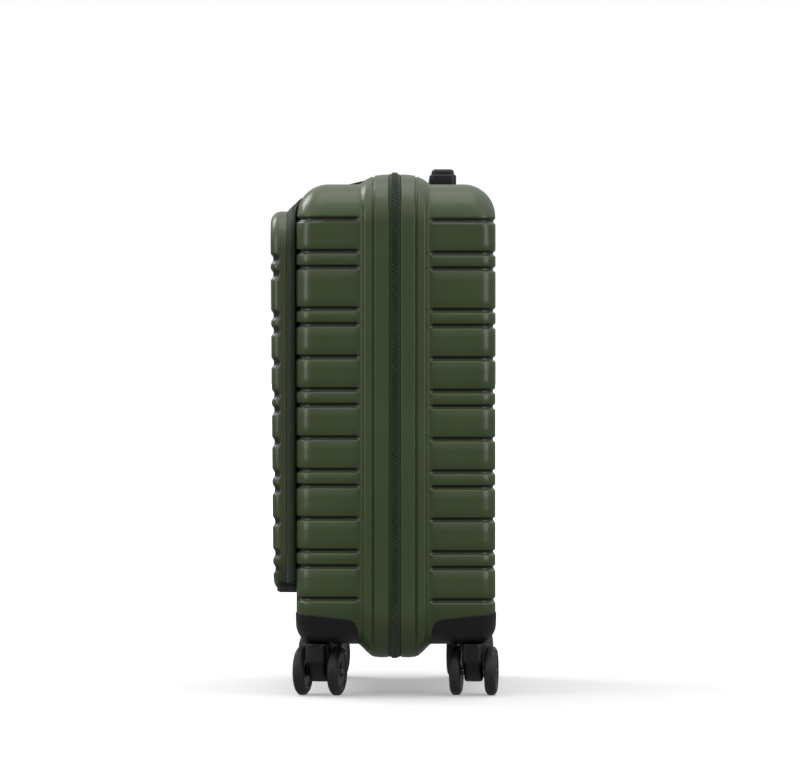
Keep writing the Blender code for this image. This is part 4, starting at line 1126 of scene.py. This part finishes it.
# Die-cast zinc under black electroplate: a dark satin metal, a little uneven
ZINC = uneven(
    "blackened_zinc", "#2a2b2d", 0.32, ("#232426", "#323335"), 60.0, (0.26, 0.4), 1800.0, 0.00003, 1.0
)
lock_low, lock_high = np.array(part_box("lock_body"))
LOCK_Y = (lock_low[1] + lock_high[1]) / 2
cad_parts["lock_body"].material_slots[0].material = ZINC
release_low, release_high = np.array(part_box("lock_release_button"))
half = (release_high - release_low) / 2
centre = ((release_low[0] + release_high[0]) / 2, LOCK_Y, 0)
shape = block(half[0], half[1], 1.5 * MM, release_low[2], release_high[2], 0.6 * MM)
rib = block(0.35 * MM, 3.2 * MM, 0.3 * MM, 534.9 * MM, 535.5 * MM, 0.15 * MM, 2)
ribs = [layered(rib, (centre[0] + offset * MM, LOCK_Y, 0)) for offset in (-3, -1, 1, 3)]
release = surface("lock_release_slide", [layered(shape, centre), *ribs], ZINC)
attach(release, "lock_release")
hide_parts("lock_release_button")
key_ring = [[4.4, 4.4, 4.4, 533.6], [4.4, 4.4, 4.4, 534.8], [4.1, 4.1, 4.1, 535.1], [3.5, 3.5, 3.5, 535.1]]
key_ring += [[3.4, 3.4, 3.4, 534.6], [1.6, 0.5, 0.4, 534.6], [1.6, 0.5, 0.4, 533.7]]
key = surface("lock_key_cylinder", [layered(np.array(key_ring) * MM, (26.5 * MM, LOCK_Y, 0))], ZINC)
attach(key, "front_case")
for number in (1, 2, 3):
    dial_low, dial_high = np.array(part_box(f"lock_dial_{number}"))
    centre = (dial_low + dial_high) / 2
    radius = (dial_high[2] - dial_low[2]) / 2
    # Ten finger notches round the rim, fading out at its chamfered edges
    turn = np.linspace(0, 2 * math.pi, 121)[None, :]
    half = np.array([[0, -1], [0.55, -1], [0.6, -0.9], [0.9, -1], [1, -0.8], [1, 0]])
    profile = np.concatenate([half, half[-2::-1] * [1, -1]])
    notch = 0.055 * np.abs(np.sin(5 * turn)) ** 6 * (profile[:, :1] > 0.8)
    r = radius * (profile[:, :1] - notch)
    side = centre[0] + profile[:, 1:] * (dial_high[0] - dial_low[0]) / 2 + 0 * turn
    grid = np.stack([side, centre[1] + r * np.sin(turn), centre[2] + r * np.cos(turn)], axis=-1)
    dial = surface(f"lock_dial_{number}_knurled", [grid], ZINC)
    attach(dial, f"lock_dial_{number}")
    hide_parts(f"lock_dial_{number}")

# ---- Zip sliders and pull tabs ---------------------------------------------------------------------------
# Die-cast sliders on both zips, two to each, parked side by side in the middle of the top. A flat tab is
# pinned across each slider's bridge, and its far end reaches to the lock.

TAB_HALF = 4.9 * MM


def slider_form(node, lean, place):
    """Slider: a rounded plate on the teeth, with a raised top and a bridge bar that carries the tab's pin."""
    low, high = np.array(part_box(node))
    centre = (low + high) / 2
    turned = ((1, 0, 0), (0, math.cos(lean), math.sin(lean)), (0, -math.sin(lean), math.cos(lean)))
    body = block(4.4 * MM, 4.1 * MM, 2.2 * MM, -1.5 * MM, 0.9 * MM, 0.5 * MM, 3)
    raised = np.array([[3.4, 3.1, 1.5, 0.9], [3.2, 2.9, 1.4, 1.35], [2.9, 2.6, 1.2, 1.45]]) * MM
    shell = layered(np.concatenate([body, raised]), centre, turned, 5)
    pin = np.array(place)
    feet = centre + np.array(turned[2]) * 0.8 * MM
    apart = np.array([2.9 * MM, 0, 0])
    bar = evenly(np.array([feet - apart, pin - apart, pin + apart, feet + apart]), 25)
    tangent = np.gradient(bar, axis=0)
    across = np.cross(tangent, np.cross(bar[12] - bar[0], pin - feet))
    across /= np.linalg.norm(across, axis=1, keepdims=True)
    return [shell, swept(bar, across, 0.55 * MM, 0.55 * MM, 2.0, 10)]


def tab_form(start, end, half_width):
    """Pull tab along (y, z) from its pin to its end: a section along its length, carried across its width.

    It has a knuckle round the pin, then a plate that widens in a smooth step and ends in a half ellipse,
    with a shallow panel sunk in its face.
    """
    length = np.linalg.norm(end - start)
    way = (end - start) / length
    up = np.array([-way[1], way[0]])
    up = up if up[1] > 0 else -up
    knuckle = 1.25 * MM
    s = -knuckle * np.cos(np.linspace(0, 1, 9) * math.pi * 0.72)
    s = np.concatenate([s, np.linspace(1.6 * MM, length, 42)])
    plate = 0.7 * MM * np.minimum(1, (length - s) / (0.5 * MM)) ** 0.5
    thick = np.where(s < 1.1 * MM, np.sqrt(np.maximum(0, knuckle**2 - s**2)), plate)
    widen = np.clip((s - 1.5 * MM) / (5 * MM), 0, 1)
    wide = 2.3 * MM + (half_width - 2.3 * MM) * widen**2 * (3 - 2 * widen)
    tip = np.clip((s - (length - half_width * 0.7)) / (half_width * 0.7), 0, 1)
    wide = wide * np.sqrt(np.maximum(0.0, 1 - 0.75 * tip**2))
    v = np.array([-1, -1, -0.985, -0.93, -0.6, -0.2, 0.2, 0.6, 0.93, 0.985, 1, 1])
    share = np.array([0, 0.5, 0.85, 1, 1, 1, 1, 1, 1, 0.85, 0.5, 0])
    panel = (s[:, None] > 8 * MM) & (s[:, None] < length - 3 * MM) & (np.abs(v)[None] < 0.7)
    top = thick[:, None] * share[None] - 0.2 * MM * panel
    x = wide[:, None] * v[None]
    sides = []
    for face in (top, -thick[:, None] * share[None]):
        yz = start + s[:, None, None] * way + face[..., None] * up
        sides.append(np.concatenate([x[..., None], yz], axis=-1))
    return sides


# Each zip's tab pin and tab end as (y, z), in millimetres, and the slope that its sliders sit on
for zip_name, pin, end, lean in (
    ("main", (5.6, 546.2), (-40.1, 535.1), 0),
    ("pocket", (-92.7, 517.1), (-67.4, 534.3), 45),
):
    pin, end = np.array([pin, end]) * MM
    for word in ("left", "right"):
        node, tab_node = f"{zip_name}_zip_slider_{word}", f"{zip_name}_zip_puller_{word}"
        low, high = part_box(node)
        x = (low[0] + high[0]) / 2
        slider = surface(f"{zip_name}_slider_{word}", slider_form(node, math.radians(lean), (x, *pin)), ZINC)
        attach(slider, node)
        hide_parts(node)
        faces = [grid + [x, 0, 0] for grid in tab_form(pin, end, TAB_HALF)]
        tab = surface(f"{zip_name}_tab_{word}", faces, ZINC)
        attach(tab, tab_node)
        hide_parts(tab_node)

# ---- Casters ---------------------------------------------------------------------------------------------
# Four double spinner wheels. A moulded fork turns on a steel stem under each guard, and carries two wheels
# on one steel axle. Each wheel is a nylon hub with a soft polyurethane tyre moulded over it.

TRAIL = 14 * MM
WHEEL_OFFSET = 18.3 * MM
# Polyurethane tyre: dark grey and satin, with scuffs from the floor that are lighter and rougher
TYRE = uneven(
    "soft_tyre", "#2b2b2c", 0.5, ("#262627", "#323233"), 90.0, (0.42, 0.6), 1500.0, 0.00006, IOR=1.5
)
# Turned steel: bright, with a fine grain of tool marks
STEEL = uneven(
    "turned_steel", "#9a9b9c", 0.25, ("#8f9091", "#a8a9aa"), 150.0, (0.2, 0.34), 2500.0, 0.00003, 1.0
)
# Nylon hub, polished in its mould: near black, and glossier than the guards
HUB = uneven(
    "hub_plastic", "#202021", 0.28, ("#1c1c1d", "#262627"), 80.0, (0.22, 0.32), 1500.0, 0.00003, IOR=1.53
)
# The fork's section at each height: (height, back, front, half width, power), in millimetres
FORK = np.array(
    (
        (54.3, -12.0, 12.9, 10.4, 3.8),
        (52.0, -12.4, 13.0, 10.5, 4.2),
        (49.0, -13.0, 13.0, 10.5, 4.5),
        (44.0, -15.0, 13.0, 10.5, 5.0),
        (39.0, -17.6, 13.0, 10.5, 5.0),
        (36.2, -19.2, 12.9, 10.5, 5.0),
        (35.0, -19.9, 12.3, 10.4, 4.6),
        (34.2, -20.4, 11.0, 10.2, 4.4),
        (33.2, -20.9, 8.0, 10.0, 4.4),
        (31.5, -21.8, 5.0, 9.9, 4.4),
        (28.5, -23.3, 3.6, 9.9, 4.4),
        (25.5, -24.6, 2.4, 9.9, 4.4),
        (22.0, -24.4, -0.2, 9.9, 4.4),
        (18.8, -23.0, -3.6, 9.8, 4.2),
        (16.2, -20.6, -7.2, 9.4, 3.6),
        (14.8, -18.2, -9.8, 8.6, 3.0),
        (14.3, -16.4, -11.8, 7.4, 2.6),
    )
)


def fork_form(steps=36):
    """The fork: superellipses (|x|/a)^p + (|y|/b)^p = 1 at its heights, shut at both ends."""
    heights = np.unique(np.concatenate([np.linspace(FORK[-1, 0], FORK[0, 0], 60), FORK[:, 0]]))
    rising = FORK[::-1].T
    back, front, wide, power = (np.interp(heights, rising[0], row)[:, None] for row in rising[1:])
    t = np.linspace(0, 2 * math.pi, steps * 2 + 1)[None, :]
    x = (front + back) / 2 + (front - back) / 2 * np.sign(np.cos(t)) * np.abs(np.cos(t)) ** (2 / power)
    y = wide * np.sign(np.sin(t)) * np.abs(np.sin(t)) ** (2 / power)
    rings = np.stack([x, y, heights[:, None] + 0 * t], axis=-1) * MM
    middle = rings.mean(axis=1, keepdims=True) + 0 * rings
    return np.concatenate([middle[:1], rings, middle[-1:]])


def revolved(profile, steps=56):
    """A ring turned about the axle from (radius, side) points, its first and last on the axle or its bore.
    """
    t = np.linspace(0, 2 * math.pi, steps + 1)[None, :]
    r, side = profile[:, :1], profile[:, 1:]
    return np.stack([r * np.cos(t), side + 0 * t, r * np.sin(t)], axis=-1)


# Sections from the axle outwards as (radius, side, reach), in millimetres
TYRE_HALF = np.array([[19.0, 4.6, 0], [19.3, 5.9, 0.4], [21.8, 5.9, 0.9], [25.5, 3.2, 1.6]])
tyre_out = filleted(np.concatenate([TYRE_HALF, TYRE_HALF[::-1] * [1, -1, 1]]), 5)
tyre_profile = np.concatenate([tyre_out, tyre_out[:1]]) * MM
HUB_FACE = (
    *((3.25, 3.6, 0), (5.2, 3.6, 0.3), (5.9, 5.3, 0.4), (7.2, 5.3, 0.4)),
    *((8.2, 4.2, 0.5), (16.2, 4.6, 0.6), (17.2, 5.5, 0.4), (19.2, 5.5, 0)),
)
hub_face = filleted(HUB_FACE, 3)
hub_profile = np.concatenate([hub_face, hub_face[::-1] * [1, -1], hub_face[:1]]) * MM
# The casters stand turned by these angles at rest, in degrees
for corner, yaw in (("front_left", -13), ("front_right", -13), ("rear_left", -6), ("rear_right", -6)):
    a = math.radians(yaw)
    axes = ((math.cos(a), math.sin(a), 0), (-math.sin(a), math.cos(a), 0), (0, 0, 1))
    axle_low, axle_high = np.array(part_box(f"caster_axle_{corner}"))
    axle_middle = (axle_low + axle_high) / 2
    foot = axle_middle + np.array(axes[0]) * TRAIL
    foot[2] = 0
    fork = surface(f"{corner}_fork", [fork_form() @ np.array(axes) + foot], BLACK_NYLON)
    plate = block(14 * MM, 14 * MM, 14 * MM, 52.2 * MM, 54.7 * MM, 0.6 * MM)
    stem_layers = np.array([[5, 5, 5, 54.7], [5, 5, 5, 66]]) * MM
    swivel = surface(f"{corner}_swivel", [layered(np.concatenate([plate, stem_layers]), foot, axes, 10)], HUB)
    for part in (fork, swivel):
        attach(part, f"caster_{corner}")
    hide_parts(f"caster_fork_{corner}")
    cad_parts[f"caster_axle_{corner}"].material_slots[0].material = STEEL
    for end, word in ((-1, "a"), (1, "b")):
        centre = axle_middle + np.array(axes[1]) * WHEEL_OFFSET * end
        tyre = surface(f"{corner}_tyre_{word}", [revolved(tyre_profile) @ np.array(axes) + centre], TYRE)
        hub = surface(f"{corner}_hub_{word}", [revolved(hub_profile) @ np.array(axes) + centre], HUB)
        for part in (tyre, hub):
            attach(part, f"wheel_{corner}_{word}")
        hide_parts(f"wheel_{corner}_{word}")

# ---- Hinge cloth -----------------------------------------------------------------------------------------
# Down the right side the halves stay joined by a doubled strip of the lining cloth, sewn inside both rims.
# It is attached to neither half, and stays where it is drawn.

hinge_y = ZIP_Y + np.linspace(-1, 1, 13)[:, None] * 9 * MM
hinge_z = np.linspace(96, 486, 41)[None, :] * MM
hinge_x = HALF_WIDTH - 4.0 * MM + 0.8 * MM * (1 - ((hinge_y - ZIP_Y) / (9 * MM)) ** 2)
hinge_grid = np.stack(np.broadcast_arrays(hinge_x, hinge_y, hinge_z), axis=-1)
hinge = surface("case_hinge_cloth", [hinge_grid], LINING)
thicken(hinge, 0.8 * MM)
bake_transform(hinge)

# ---- Studio ----------------------------------------------------------------------------------------------
# A pale floor under a white backdrop, with soft lights at both sides and above, the brightest of them at
# the far front. The camera looks squarely at the right side, from 5 m away and a little above its middle.

FLOOR_REACH = 60.0


def studio_floor():
    """Matt white paint that also glows, a painted light, so that the case's shadow stays faint."""
    made, tree, shader, place = start_finish("studio_floor", "#ebebeb", 0.9)
    drift = add_node(tree, "ShaderNodeTexNoise", {"Vector": place.outputs["Object"], "Scale": 1.5})
    colours = ((0.3, "#e9e9e9"), (0.7, "#ededed"))
    add_node(tree, "ShaderNodeValToRGB", {"Fac": drift.outputs["Fac"]}, colours, shader.inputs["Base Color"])
    shader.inputs["Emission Color"].default_value = linear("#ffffff")
    # It glows more with distance, a painted light, so that it meets the white backdrop without an edge
    away = add_node(tree, "ShaderNodeVectorMath", {0: place.outputs["Object"]}, operation="LENGTH")
    reach = {"From Min": 0.8, "From Max": 3.5, "To Min": 0.3, "To Max": 1.0}
    glow = {"Value": away.outputs["Value"], **reach}
    add_node(tree, "ShaderNodeMapRange", glow, to=shader.inputs["Emission Strength"])
    return made


spread = np.linspace(-FLOOR_REACH, FLOOR_REACH, 9)
floor_x, floor_y = np.meshgrid(spread, spread)
floor = surface("studio_floor", [np.stack([floor_x, floor_y, 0 * floor_x], axis=-1)], studio_floor())
floor.visible_diffuse = False
floor.visible_glossy = False

bpy.context.scene.view_settings.view_transform = "Standard"
world = bpy.data.worlds.new("studio")
world.use_nodes = True
tree = world.node_tree
background = tree.nodes["Background"]
background.inputs["Color"].default_value = (1.0, 1.0, 1.0, 1.0)
place = add_node(tree, "ShaderNodeTexCoord")
height = add_node(tree, "ShaderNodeSeparateXYZ", {"Vector": place.outputs["Generated"]})
sky = {"Value": height.outputs["Z"], "To Min": 0.2, "To Max": 1.05}
add_node(tree, "ShaderNodeMapRange", sky, to=background.inputs["Strength"])
seen = add_node(tree, "ShaderNodeBackground", {"Strength": 1.0, "Color": (1.0, 1.0, 1.0, 1.0)})
path = add_node(tree, "ShaderNodeLightPath")
both = {0: path.outputs["Is Camera Ray"], 1: background.outputs[0], 2: seen.outputs[0]}
add_node(tree, "ShaderNodeMixShader", both, to=tree.nodes["World Output"].inputs["Surface"])
bpy.context.scene.world = world


def soft_light(name, place, target, size, power):
    """A square soft light facing its target."""
    light = bpy.data.lights.new(name, "AREA")
    light.shape = "RECTANGLE"
    light.size, light.size_y = size
    light.energy = power
    obj = bpy.data.objects.new(name, light)
    bpy.context.scene.collection.objects.link(obj)
    obj.location = place
    aim = np.array(target) - np.array(place)
    yaw = math.atan2(aim[1], aim[0]) - math.pi / 2
    tilt = math.pi / 2 + math.atan2(aim[2], math.hypot(aim[0], aim[1]))
    obj.rotation_euler = (tilt, 0, yaw)


soft_light("top_light", (0.3, 0.0, 2.2), (0, 0, 0.3), (1.4, 1.4), 5)
soft_light("key_light", (-1.3, -1.9, 2.2), (0, 0, 0.35), (1.1, 1.1), 18)
soft_light("front_light", (1.2, -2.0, 0.9), (0, 0, 0.3), (0.9, 1.5), 8)
soft_light("rear_light", (1.2, 2.0, 0.9), (0, 0, 0.3), (0.9, 1.5), 8)

camera_data = bpy.data.cameras.new("camera")
camera = bpy.data.objects.new("camera", camera_data)
bpy.context.scene.collection.objects.link(camera)
bpy.context.scene.camera = camera
CAMERA_DISTANCE = 5.0
CAMERA_HEIGHT = 0.35
CAMERA_SHIFT = 0.0156
CAMERA_DIP = 0.396
camera_data.lens = 210.7
camera.location = (CAMERA_DISTANCE, CAMERA_SHIFT, CAMERA_HEIGHT)
camera.rotation_euler = (math.radians(90 - CAMERA_DIP), 0, math.radians(90))
